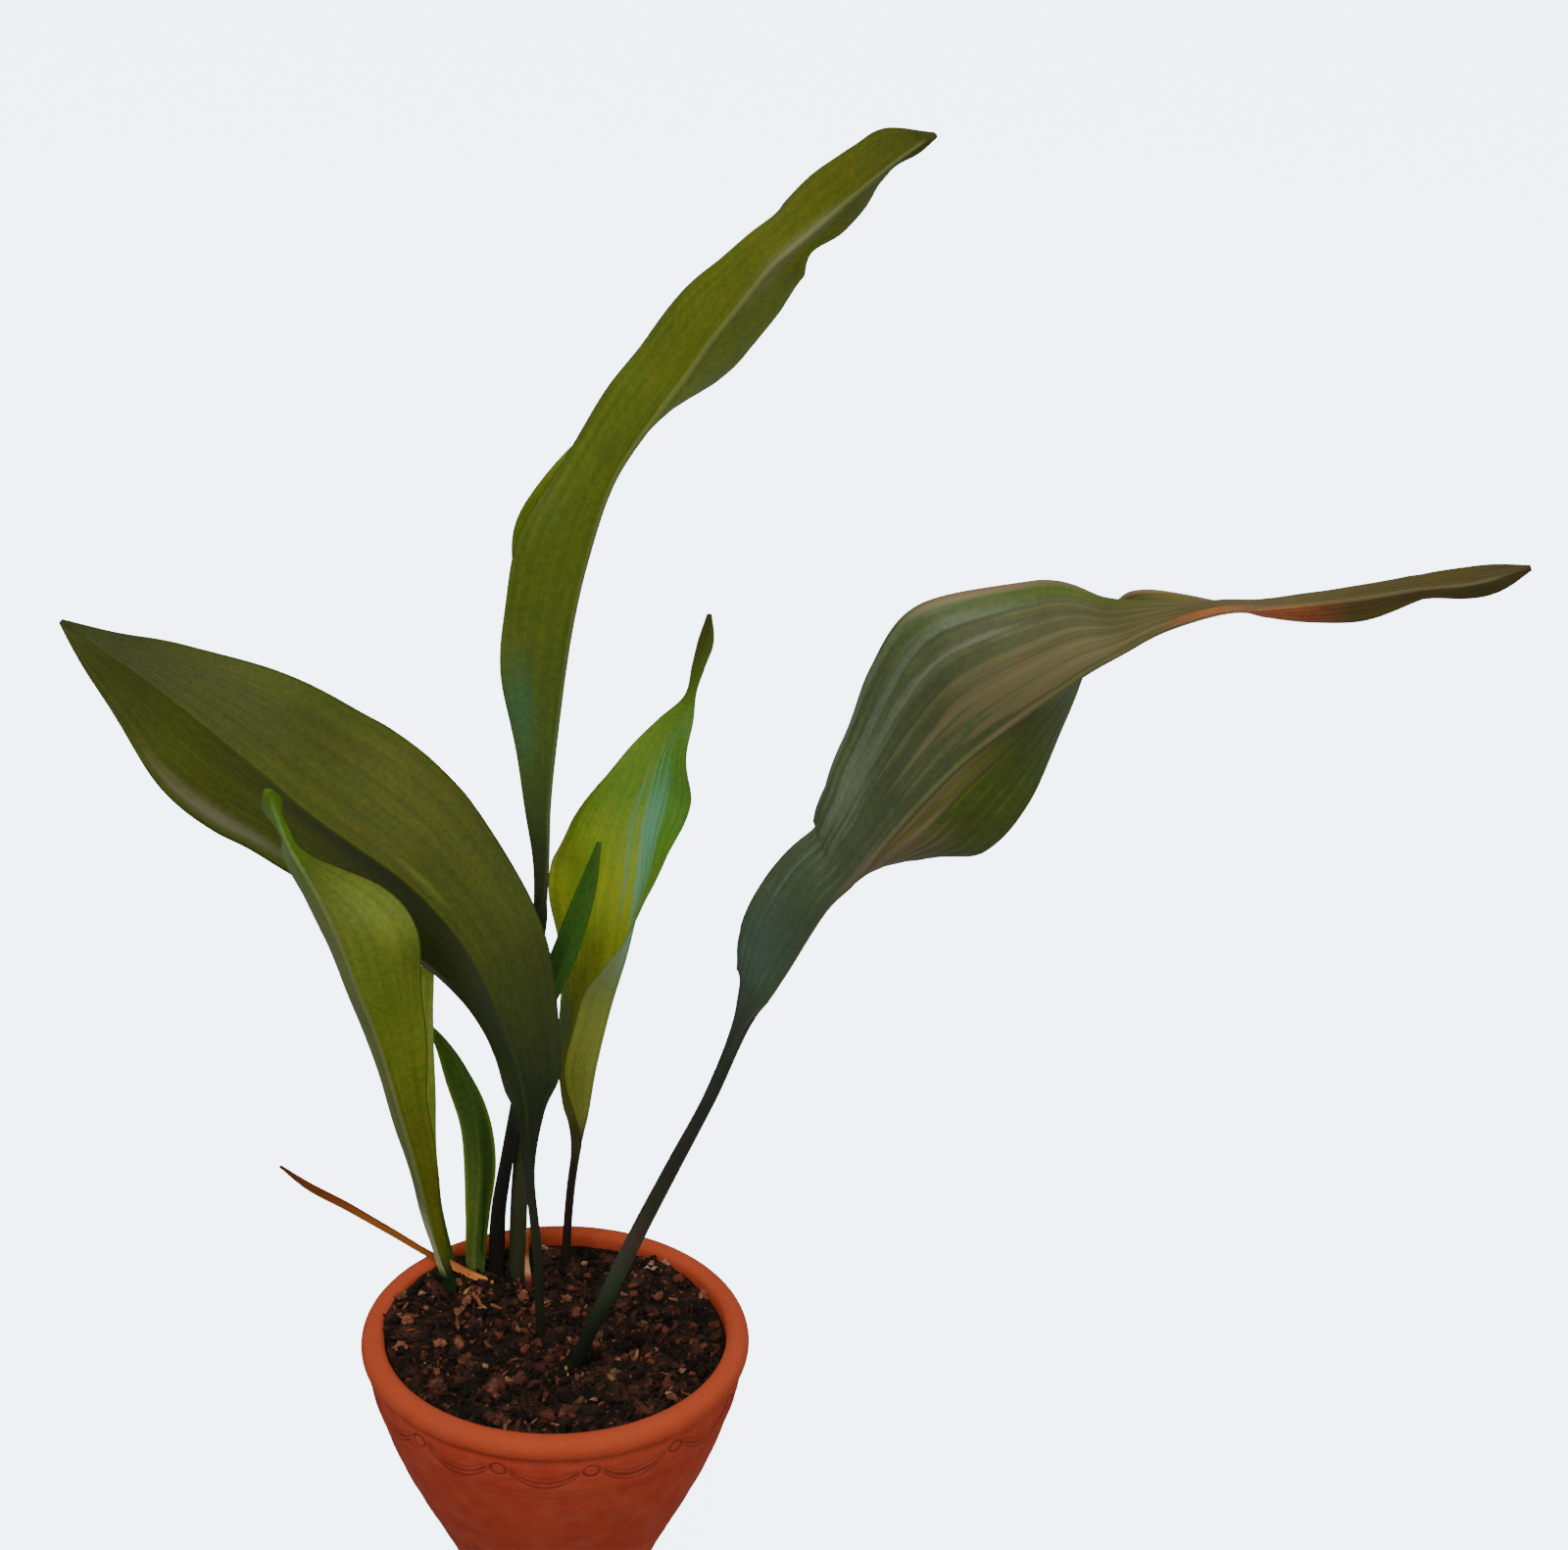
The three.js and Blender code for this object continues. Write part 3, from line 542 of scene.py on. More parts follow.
    @staticmethod
    def add_patch(
        tree: bpy.types.NodeTree,
        colour: bpy.types.Node,
        patch: Patch,
        across: bpy.types.NodeSocket,
        along: bpy.types.NodeSocket,
        streaks: bpy.types.Node,
    ) -> bpy.types.Node:
        """Lays one patch over the colour so far.

        Args:
            tree: the material's tree.
            colour: the colour so far.
            patch: the patch.
            across: the place across the leaf.
            along: the place along it.
            streaks: the streaks, which fray the patch.

        Returns:
            The node with the new colour.
        """
        x = add_node(
            tree, "MapRange", {0: across, 1: patch.across, 2: patch.across + patch.wide}, clamp=False
        )
        y = add_node(
            tree, "MapRange", {0: along, 1: patch.along, 2: patch.along + patch.long}, clamp=False
        )
        far = add_node(
            tree, "VectorMath", {0: add_node(tree, "CombineXYZ", {0: x, 1: y})}, operation="LENGTH"
        )
        frayed = add_node(
            tree, "Math", {0: streaks, 1: patch.fray, 2: far.outputs["Value"]}, operation="MULTIPLY_ADD"
        )
        share = add_node(
            tree,
            "MapRange",
            {0: frayed, 1: patch.fray / 2, 2: 1 + patch.fray / 2, 3: patch.strength, 4: 0.0},
            **SOFT,
        )
        return add_node(tree, "Mix", {0: share, 6: colour, 7: linear(patch.colour)}, data_type="RGBA")


@dataclass(frozen=True)
class WitheredSkin:
    """Leaf that died and dried: matt, papery, with torn fibres that run along it."""

    name: str
    stops: tuple[tuple[float, str], ...]
    fibre: str
    fibre_lanes: float = 5.0
    fibre_mm: float = 12.5
    relief_mm: float = 0.4
    roughness: float = 0.75

    def material(self, length: float) -> bpy.types.Material:
        """Makes the material.

        Args:
            length: the piece's length in millimetres.

        Returns:
            The material, which reads each point's place on the leaf.
        """
        material, tree = new_material(self.name)
        leaf = add_node(tree, "SeparateXYZ", {0: add_node(tree, "Attribute", attribute_name="place")})
        across, along = leaf.outputs["X"], leaf.outputs["Y"]
        base = add_node(tree, "ValToRGB", {0: along}, stops=self.stops)
        lanes = add_node(tree, "Math", {0: across, 1: self.fibre_lanes}, operation="MULTIPLY")
        drift = add_node(tree, "Math", {0: along, 1: length / self.fibre_mm}, operation="MULTIPLY")
        run = add_node(tree, "CombineXYZ", {0: lanes, 1: drift})
        fibres = add_node(tree, "TexNoise", {"Vector": run, "Scale": 1.0, "Detail": 6.0})
        share = add_node(tree, "MapRange", {0: fibres, 1: 0.4, 2: 0.7, 3: 0.0, 4: 0.7})
        colour = add_node(
            tree, "Mix", {0: share.outputs[0], 6: base, 7: linear(self.fibre)}, data_type="RGBA"
        )
        bump = add_node(
            tree, "Bump", {"Height": fibres, "Distance": self.relief_mm * MM, "Strength": 0.8}
        )
        close_material(
            tree,
            {
                "Base Color": colour,
                "Roughness": self.roughness,
                "Specular IOR Level": 0.2,
                "Normal": bump,
            },
        )
        return material


@dataclass(frozen=True)
class StudioPaper:
    """Pale matt paper, lit from behind so that it stays as bright as in the photograph."""

    colour: str = "F1F5F7"
    glow: str = "DEEEFD"
    glow_strength: float = 6.3
    fibre_mm: float = 2.5
    relief_mm: float = 0.1

    def material(self) -> bpy.types.Material:
        """Makes the material.

        Returns:
            The material.
        """
        material, tree = new_material("studio_paper")
        place = add_node(tree, "TexCoord").outputs["Object"]
        fibre = add_node(tree, "TexNoise", {"Vector": place, "Scale": 1 / (self.fibre_mm * MM)})
        bump = add_node(tree, "Bump", {"Height": fibre, "Distance": self.relief_mm * MM, "Strength": 0.1})
        close_material(
            tree,
            {
                "Base Color": linear(self.colour),
                "Roughness": 0.9,
                "Specular IOR Level": 0.1,
                "Emission Color": linear(self.glow),
                "Emission Strength": self.glow_strength,
                "Normal": bump,
            },
        )
        return material


@dataclass
class Garland:
    """The garland incised under the rim: small ovals on a ring, and swags of thin lines between."""

    repeats: int = 13
    first_turn: float = -17.3
    level: float = 100.6
    oval: tuple[float, float] = (3.0, 2.45)
    # How far from an oval the swags start, and over what distance they come in
    oval_gap: float = 1.4
    oval_clear: tuple[float, float] = (0.6, 1.6)
    line: float = 0.42
    depth: float = 0.42
    wear: float = 0.24
    # Each swag line: its height beside an oval, how far it sags, and how strong it is
    swags: tuple[Point, ...] = ((1.6, 4.6, 0.45), (-0.2, 5.2, 0.9), (-1.6, 6.2, 0.8))
    # The short slanting stroke beside an oval: its start and end, and how strong it is
    ribbon: Point = (4.4, 10.0, 0.9)
    ribbon_slant: float = 0.75

    def carve(self, angle: np.ndarray, height: np.ndarray, radius: np.ndarray) -> np.ndarray:
        """How deep the lines are at points of the wall.

        Args:
            angle: each point's turn about the pot in radians.
            height: its height in millimetres.
            radius: its distance from the pot's axis.

        Returns:
            A share of the full depth, from 0 to 1.
        """
        pitch = 2 * math.pi / self.repeats
        turned = angle - math.radians(self.first_turn) + pitch / 2
        u = ((turned % pitch) - pitch / 2) * radius
        v = height - self.level
        wide, high = self.oval
        ring = np.abs(np.hypot(u / wide, v / high) - 1) * (wide + high) / 2
        cut = np.exp(-((ring / self.line) ** 2))
        reach = pitch * radius / 2 - wide - self.oval_gap
        from_middle = np.clip((pitch * radius / 2 - np.abs(u)) / reach, 0, 1)
        between = smooth(np.abs(u), *(wide + clear for clear in self.oval_clear))
        for top, sag, strength in self.swags:
            off = v - top + sag * (1 - from_middle**2)
            cut = np.maximum(cut, strength * between * np.exp(-((off / self.line) ** 2)))
        start, end, strength = self.ribbon
        stroke = v + self.ribbon_slant * (np.abs(u) - start)
        along = smooth(np.abs(u), start, start + 1) * (1 - smooth(np.abs(u), end - 1, end))
        cut = np.maximum(cut, strength * along * np.exp(-((stroke / self.line) ** 2)))
        # Where the lines are worn shallow, in patches round the pot
        worn = np.sin(3 * angle + 0.8) * np.sin(0.9 * height + 7 * angle)
        return cut * (1 - self.wear + self.wear * worn)


@dataclass
class Pot:
    """The terracotta pot: a bell on a narrow foot, with a rolled rim and drain holes."""

    finish: Terracotta
    garland: Garland
    sides: int = 840
    wall: float = 6.2
    floor: float = 8.0
    foot_radius: float = 35.5
    foot_round: float = 1.5
    foot_ring: float = 30.0
    floor_ring: float = 28.0
    drain_holes: int = 3
    drain_radius: float = 3.5
    drain_circle: float = 15.0
    drain_sides: int = 24
    wall_top: float = 105.0
    wall_fade: float = 1.5
    # The rim's curve leaves the wall this share of a point past the bell's last one
    rim_start: float = 0.3
    # Rings on the lower wall, on the band with the garland, on the rim and inside
    rings: tuple[int, int, int, int] = (22, 44, 26, 12)
    # The point of the bell at which that band starts
    band_start: int = 6
    # Turning marks and soft sunk bands: depth and length or height, and the bands' width
    fine_marks: tuple[float, float] = (0.05, 0.85)
    broad_marks: tuple[float, float] = (0.07, 2.3)
    upper_band: Point = (0.2, 86.5, 1.2)
    lower_band: Point = (0.15, 78, 1.5)
    out_of_round: float = 0.12
    round_below: float = 60.0
    bell: tuple[tuple[float, float], ...] = (
        (36.2, 8), (38.2, 18), (43.2, 30), (50, 44), (56, 57), (61.6, 70.5), (66, 84), (69, 94),
        (70.3, 101), (70.4, 106),
    )
    rim: tuple[tuple[float, float], ...] = (
        (71.4, 106.8), (72.5, 108.3), (72.8, 110.5), (72.2, 112.7), (70.7, 114.3), (68.4, 115),
        (66.1, 114.7), (64.4, 113.4), (63.9, 110.5),
    )

    def profile(self) -> np.ndarray:
        """The pot's outline from under the foot, up the wall, over the rim and down to its floor.

        Returns:
            Radius and height of each ring.
        """
        centre = self.foot_radius - self.foot_round
        corner = np.radians(np.linspace(-90, 0, 5))
        foot = np.stack([np.cos(corner), 1 + np.sin(corner)], -1) * self.foot_round + (centre, 0)
        bell = np.array(self.bell, float)
        lower, middle, upper, inside = self.rings
        top = len(bell) - 1
        below = spline(bell, np.linspace(0, self.band_start, lower))[0]
        band = spline(bell, np.linspace(self.band_start, top, middle)[1:])[0]
        over = np.array([self.bell[-1], *self.rim], float)
        rim = spline(over, np.linspace(self.rim_start, len(self.rim), upper))[0]
        inner = spline(bell, np.linspace(top, 0, inside))[0] - (self.wall, 0)
        inner[:, 1] = np.maximum(inner[:, 1], self.floor)
        first, last = (self.foot_ring, 0), (self.floor_ring, self.floor)
        return np.vstack([first, foot, below, band, rim, inner, last])

    def disc(self, radius: float, first: int, height: float) -> tuple[np.ndarray, list, list]:
        """A flat disc with the drain holes cut out, which shares its outer ring with the wall.

        Args:
            radius: its radius.
            first: the number of the outer ring's first point in the pot's mesh.
            height: its height.

        Returns:
            The holes' points, the disc's triangles, and the outer ring's numbers in the mesh.
        """
        turn = turns(self.sides)
        outer = np.stack([np.sin(turn), -np.cos(turn)], -1) * radius
        around = turns(self.drain_sides)
        circle = self.drain_radius * np.stack([np.cos(around), np.sin(around)], -1)
        holes = []
        for angle in turns(self.drain_holes):
            centre = np.array([math.cos(angle), math.sin(angle)]) * self.drain_circle
            holes.append(centre + circle)
        flat = np.vstack([outer, *holes])
        edges = []
        start = 0
        for loop in (outer, *holes):
            count = len(loop)
            edges += [(start + i, start + (i + 1) % count) for i in range(count)]
            start += count
        tolerance = 1e-7
        found = delaunay_2d_cdt([Vector(p) for p in flat], edges, [], 0, tolerance)
        # A triangle with its middle inside a hole is left out
        inside = 0.98 * self.drain_radius
        kept = []
        for face in found[2]:
            middle = np.mean([found[0][i] for i in face], axis=0)
            in_hole = any(np.hypot(*(middle - np.mean(hole, axis=0))) < inside for hole in holes)
            if not in_hole:
                kept.append([found[3][i][0] for i in face])
        points = np.column_stack([np.vstack(holes), np.full(start - self.sides, height)])
        return points, kept, list(range(first, first + self.sides))

    def build(self) -> None:
        """Makes the pot in place of its plain part."""
        profile = self.profile()
        rows = len(profile)
        turn = turns(self.sides)
        angle = np.tile(turn, rows)
        radius, height = (np.repeat(profile[:, k], self.sides) for k in (0, 1))
        slope = np.gradient(profile, axis=0)
        normal = unit(np.stack([slope[:, 1], -slope[:, 0]], -1))
        outside = np.arange(rows) < np.argmax(profile[:, 1])
        on_wall = np.repeat(outside & (profile[:, 1] > self.foot_round), self.sides)
        below_rim = 1 - smooth(height, self.wall_top, self.wall_top + self.wall_fade)
        cut = self.garland.carve(angle, height, radius) * on_wall * below_rim
        # Shallow turning marks round the wall, and two soft sunk bands under the garland
        (fine, fine_long), (broad, broad_long) = self.fine_marks, self.broad_marks
        marks = fine * np.sin(height / fine_long + 0.6 * np.sin(angle * 2))
        marks = marks + broad * np.sin(height / broad_long)
        band = sum(
            deep * np.exp(-(((height - level) / wide) ** 2))
            for deep, level, wide in (self.upper_band, self.lower_band)
        )
        sunk = cut * self.garland.depth + on_wall * (band - marks * (height < self.wall_top))
        # Fired pots are never quite round: three soft swells, which fade out towards the foot
        swell = np.sin(3 * angle + 0.7) * np.minimum(height / self.round_below, 1)
        bent = swell * on_wall * self.out_of_round
        radius = radius + np.repeat(normal[:, 0], self.sides) * (bent - sunk)
        height = height + np.repeat(normal[:, 1], self.sides) * (bent - sunk)
        points = np.stack([radius * np.sin(angle), -radius * np.cos(angle), height], -1)
        faces = ring_faces(rows, self.sides)
        under, under_faces, under_ring = self.disc(self.foot_ring, 0, 0.0)
        top = (rows - 1) * self.sides
        over, over_faces, over_ring = self.disc(self.floor_ring, top, self.floor)
        low = len(points)
        high = low + len(under)
        under_all = under_ring + list(range(low, high))
        over_all = over_ring + list(range(high, high + len(over)))
        faces += [[under_all[i] for i in face[::-1]] for face in under_faces]
        faces += [[over_all[i] for i in face] for face in over_faces]
        for i in range(self.drain_holes):
            hole = self.drain_sides * i
            for j in range(self.drain_sides):
                a, b = hole + j, hole + (j + 1) % self.drain_sides
                faces.append([low + b, low + a, high + a, high + b])
        lines = np.concatenate([cut, np.zeros(len(under) + len(over))])
        everything = np.vstack([points, under, over])
        piece = make_piece(
            "terracotta_pot", everything, faces, [self.finish.material()], {"incised": lines}
        )
        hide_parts("pot")


class Matter(Enum):
    """What a bit that lies on the soil is made of."""

    # Pine bark, chipped and composted: dull red-brown lumps
    BARK = Crumbly("pine_bark_chip", ((0.1, "22120C"), (0.55, "5A3226"), (0.95, "7E5142")), 2.2)
    # Fired clay, crushed: pale pink crumbs that catch the light
    PINK = Crumbly("fired_clay_crumb", ((0.1, "5A2E22"), (0.55, "965A42"), (0.95, "D09A78")), 1.2)
    # Bark that lay in the weather: tan, drier than the soil
    YELLOW = Crumbly("weathered_bark_crumb", ((0.1, "38241A"), (0.55, "6E4E30"), (0.95, "A08058")), 1.6)
    # Perlite, expanded and dusted with soil: the lightest bits
    PALE = Crumbly("perlite_grain", ((0.1, "7A5E50"), (0.55, "A88672"), (0.95, "CCB09A")), 1.2)
    # Straw, chopped: thin light scraps
    STRAW = Crumbly("straw_scrap", ((0.1, "76502A"), (0.55, "B08850"), (0.95, "D8BC86")), 1.5)


@dataclass(frozen=True)
class Chip:
    """A bit on the soil: its place, its three half sizes, its turn and tilt, and its matter."""

    x: float
    y: float
    size: Point
    turn: float
    tilt: float
    matter: Matter


@dataclass
class Soil:
    """Potting soil up to just under the rim: clods, loose crumbs, and bits of bark and clay."""

    # Peat, damp: nearly black, a little warmer where it dried
    loam: Crumbly = Crumbly(
        "potting_soil_damp", ((0.1, "14100A"), (0.4, "241C14"), (0.6, "38221A"), (0.95, "583428")), 2.5
    )
    # Peat crumbs and fibres that lie loose and dry: from black to light brown, each in its own tone
    crumb: Crumbly = Crumbly(
        "potting_soil_crumbs",
        (
            (0.05, "1A140E"), (0.3, "342218"), (0.55, "522E22"), (0.75, "6E3C2A"),
            (0.9, "86543C"), (1.0, "A47E5A"),
        ),
        1.5,
        spread=0.15,
    )
    # Radius, height at the wall, rise of the middle, and height of the underside
    edge: float = 63.45
    level: float = 110.5
    mound: float = 0.8
    under: float = 102.0
    rings: int = 110
    sides: int = 300
    edge_drop: float = 1.6
    edge_taper: float = 0.1
    # Heaped soil leans out over the rim by this share, between these heights over its level
    rim_lean: float = 0.033
    lean_heights: tuple[float, float] = (1.0, 4.0)
    # Each size of clod, in width and in height, and how quickly they flatten out at the wall
    clods: tuple[tuple[float, float], ...] = ((9.0, 1.5), (4.2, 1.5), (1.9, 0.8))
    clods_end: float = 1.03
    clods_fade: float = 6.0
    # Tones: the middle, how far they vary, and over how many millimetres
    soil_tone: Point = (0.45, 0.5, 7.0)
    chip_tone: Point = (0.5, 0.35, 2.5)
    # A lump's dents, broad and fine: how deep and how close they are
    dents: tuple[tuple[float, float], ...] = ((0.75, 1.6), (0.5, 3.9))
    chip_lift: float = 0.35
    seed: int = 7
    crumbs: int = 2100
    crumb_inset: float = 1.2
    crumb_lift: float = 0.25
    # Reach of a crumb: the least, what chance adds, and how rare the large ones are
    crumb_reach: Point = (0.5, 1.9, 2.6)
    # Half sizes of a crumb as shares of its reach: the least, and what chance adds
    crumb_shape: tuple[float, float] = (0.35, 0.9)
    # Crumbs' tones: the least, what chance adds, and how rare the light ones are
    crumb_tone: Point = (0.05, 0.9, 2.2)
    # Fibres among the crumbs: their share, their proportions, how those vary, the least half size,
    # and how much they tilt and turn
    fibre_share: float = 0.4
    fibre_shape: Point = (0.3, 1.1, 0.25)
    fibre_vary: tuple[float, float] = (0.7, 0.9)
    fibre_least: float = 0.12
    fibre_tilt: float = 0.3
    fibre_turn: float = 2.0
    # Each heap: its place, its reach and how far it rises
    humps: tuple[tuple[float, float, float, float], ...] = (
        (-20, -34, 6, 1.6), (-12, -31, 5, 1.4), (5, -48, 5, 1.4), (22, -27, 4.5, 1.4),
        (-33, 22, 5, 2.0), (50, 20, 6, 1.2), (-50, -18, 7, 1.2), (-58, 12, 20, 4.4),
        (-42, 42, 17, 3.4), (42, 44, 15, 1.3),
    )
    chips: tuple[Chip, ...] = (
        Chip(-21, -34, (6.0, 4.2, 2.0), 10, 8, Matter.BARK),
        Chip(-13, -31, (3.4, 3.0, 1.8), 70, -12, Matter.BARK),
        Chip(4, -49, (3.6, 3.0, 1.9), 30, 10, Matter.BARK),
        Chip(9, -42, (2.1, 1.7, 1.5), 20, 0, Matter.YELLOW),
        Chip(22, -27, (3.6, 2.8, 1.9), 50, 14, Matter.YELLOW),
        Chip(-43, -32, (4.0, 3.4, 1.7), 120, -10, Matter.BARK),
        Chip(-58, -7.5, (2.6, 2.0, 1.5), 40, 10, Matter.PINK),
        Chip(-56, 5, (2.8, 2.2, 1.7), 100, -8, Matter.PINK),
        Chip(-43, -5, (2.2, 1.8, 1.5), 10, 10, Matter.PINK),
        Chip(-31, 26, (2.6, 1.9, 1.6), 30, 10, Matter.PINK),
        Chip(-34, 20, (2.2, 1.5, 1.4), 100, 20, Matter.PINK),
        Chip(-30, 22, (0.7, 3.6, 0.6), 35, 22, Matter.PINK),
        Chip(-35, 25, (0.6, 3.2, 0.5), -50, 26, Matter.STRAW),
        Chip(-31, 17, (0.6, 3.0, 0.5), 8, 18, Matter.PINK),
        Chip(-27, 25, (0.6, 2.8, 0.5), 70, 24, Matter.YELLOW),
        Chip(-36, 16, (0.7, 2.2, 0.6), -20, 20, Matter.PINK),
        Chip(-28, 19, (1.4, 1.1, 1.0), 0, 12, Matter.STRAW),
        Chip(37, 44, (2.2, 1.7, 1.3), 10, 5, Matter.PALE),
        Chip(43, 48, (1.7, 1.5, 1.2), 60, 0, Matter.PALE),
        Chip(57, 27, (2.8, 2.1, 1.6), 80, 12, Matter.PINK),
        Chip(60, 6, (2.4, 2.0, 1.4), 20, 6, Matter.BARK),
        Chip(-5, 60.5, (1.5, 1.3, 1.1), 0, 0, Matter.PALE),
        Chip(-59, 22, (2.2, 1.8, 1.3), 30, 0, Matter.YELLOW),
        Chip(41, -36, (1.2, 1.0, 0.9), 0, 0, Matter.PALE),
        Chip(4, -25, (0.6, 3.2, 0.45), 15, 50, Matter.STRAW),
        Chip(-1, -13, (3.2, 2.4, 1.7), 65, 9, Matter.BARK),
        Chip(16, -1.5, (2.8, 2.2, 1.6), 35, -9, Matter.YELLOW),
        Chip(32, -48, (3.6, 2.6, 1.6), 140, 10, Matter.BARK),
        Chip(59, -9, (2.8, 2.2, 1.5), 75, 8, Matter.BARK),
        Chip(-33, -18, (2.0, 4.6, 1.2), 40, 18, Matter.BARK),
        Chip(33, 5, (2.0, 1.6, 1.2), 10, 8, Matter.YELLOW),
        Chip(-20, -52, (3.0, 2.4, 1.4), 95, 10, Matter.BARK),
    )

    def place(self, x: float, y: float) -> Point:
        """The soil's point over a place: where it is heaped up, it leans out against the rim.

        Args:
            x: the place, to the right of the pot's axis.
            y: the place, behind the axis.

        Returns:
            The point.
        """
        height = self.height(x, y)
        lean = 1 + self.rim_lean * smooth(height, *(self.level + h for h in self.lean_heights))
        return x * lean, y * lean, height

    def height(self, x: float, y: float) -> float:
        """How high the soil stands at a place.

        Args:
            x: the place, to the right of the pot's axis.
            y: the place, behind the axis.

        Returns:
            The height in millimetres.
        """
        reach = math.hypot(x, y) / self.edge
        height = self.level + self.mound * (1 - 2 * reach * reach)
        for hump_x, hump_y, radius, rise in self.humps:
            height += rise * math.exp(-((math.hypot(x - hump_x, y - hump_y) / radius) ** 4))
        rough = 0.0
        for size, rise in self.clods:
            rough += rise * noise.noise(Vector((x / size, y / size, size)))
        return height + rough * min(1.0, self.clods_fade * (self.clods_end - reach))

    def build(self) -> None:
        """Makes the soil, its crumbs and its chips in place of the plain part."""
        spread = np.arange(1, self.rings + 1) / self.rings
        turn = turns(self.sides)
        points = [(0.0, 0.0, self.height(0, 0))]
        for share in spread:
            for angle in turn:
                x, y = (self.edge * share * f(angle) for f in (math.sin, math.cos))
                points.append(self.place(x, y))
        wall = [
            (self.edge, self.level - self.edge_drop),
            (self.edge - self.edge_taper, self.under),
            (1.0, self.under),
        ]
        for radius, level in wall:
            points += [(radius * math.sin(a), radius * math.cos(a), level) for a in turn]
        rows = self.rings + len(wall)
        faces = [tuple(i + 1 for i in face) for face in ring_faces(rows, self.sides)]
        last = 1 + (rows - 1) * self.sides
        faces += [(0, 1 + (j + 1) % self.sides, 1 + j) for j in range(self.sides)]
        faces.append([last + j for j in range(self.sides)])
        middle, vary, over = self.soil_tone
        tone = np.array([middle + vary * noise.noise(Vector(p) / over) for p in points])
        everything = np.array(points)
        piece = make_piece("potting_soil", everything, faces, [self.loam.material()], {"tone": tone})
        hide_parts("soil")
        self.build_crumbs()
        self.build_chips()

    def pebble(
        self, size: np.ndarray, turn: np.ndarray, seed: float, fine: int
    ) -> tuple[np.ndarray, list]:
        """A rough lump with flattened sides.

        Args:
            size: its half sizes.
            turn: a rotation of three rows.
            seed: which lump it is.
            fine: how often its faces are split.

        Returns:
            Its points and its faces.
        """
        points, faces = LUMPS[fine]
        shaped = []
        (deep, a), (shallow, b) = self.dents
        for x, y, z in points:
            swell = 1 + deep * noise.noise(Vector((x * a + seed, y * a, z * a)))
            swell += shallow * noise.noise(Vector((x * b, y * b + seed, z * b)))
            shaped.append((x * swell, y * swell, z * swell))
        return (np.array(shaped) * size) @ turn.T, faces

    def build_crumbs(self) -> None:
        """Strews loose crumbs over the soil as one piece."""
        random = np.random.default_rng(self.seed)
        points, faces, tones = [], [], []
        least, more, rare = self.crumb_reach
        dark, lighter, rare_light = self.crumb_tone
        thin, thicker = self.crumb_shape
        short, longer = self.fibre_vary
        for i in range(self.crumbs):
            far = (self.edge - self.crumb_inset) * math.sqrt(random.random())
            angle = 2 * math.pi * random.random()
            x, y = far * math.sin(angle), far * math.cos(angle)
            reach = least + more * random.random() ** rare
            size = reach * (thin + thicker * random.random(3))
            # Some are fibres: long, thin and nearly flat on the soil
            fibre = random.random() < self.fibre_share
            lean = random.normal(size=(3, 3))
            if fibre:
                size = np.array(self.fibre_shape) * reach * (short + longer * random.random(3))
                size = size + self.fibre_least
                lean = np.eye(3) + self.fibre_tilt * lean
                lean[:2, :2] += random.normal(size=(2, 2)) * self.fibre_turn
            turn = np.linalg.qr(lean)[0]
            lump, lump_faces = self.pebble(size, turn, 0.37 * i, 0)
            first = len(points)
            centre = np.array(self.place(x, y)) + (0, 0, self.crumb_lift * reach)
            points += (lump + centre).tolist()
            faces += [[first + k for k in face] for face in lump_faces]
            tones += [dark + lighter * random.random() ** rare_light] * len(lump)
        piece = make_piece(
            "soil_crumbs", np.array(points), faces, [self.crumb.material()], {"tone": np.array(tones)}
        )

    def build_chips(self) -> None:
        """Lays the larger bits on the soil, one piece for each kind of matter."""
        middle, vary, over = self.chip_tone
        for matter in Matter:
            points, faces, tones = [], [], []
            for i, chip in enumerate(c for c in self.chips if c.matter is matter):
                turn = Matrix.Rotation(math.radians(chip.turn), 3, "Z")
                turn = turn @ Matrix.Rotation(math.radians(chip.tilt), 3, "X")
                lump, lump_faces = self.pebble(
                    np.array(chip.size), np.array(turn), 3.3 + 1.7 * i + chip.x, 1
                )
                level = self.height(chip.x, chip.y) + self.chip_lift * chip.size[2]
                first = len(points)
                points += (lump + (chip.x, chip.y, level)).tolist()
                faces += [[first + k for k in face] for face in lump_faces]
                tones += [middle + vary * noise.noise(Vector(p) / over) for p in lump]
            piece = make_piece(
                matter.value.name,
                np.array(points),
                faces,
                [matter.value.material()],
                {"tone": np.array(tones)},
            )


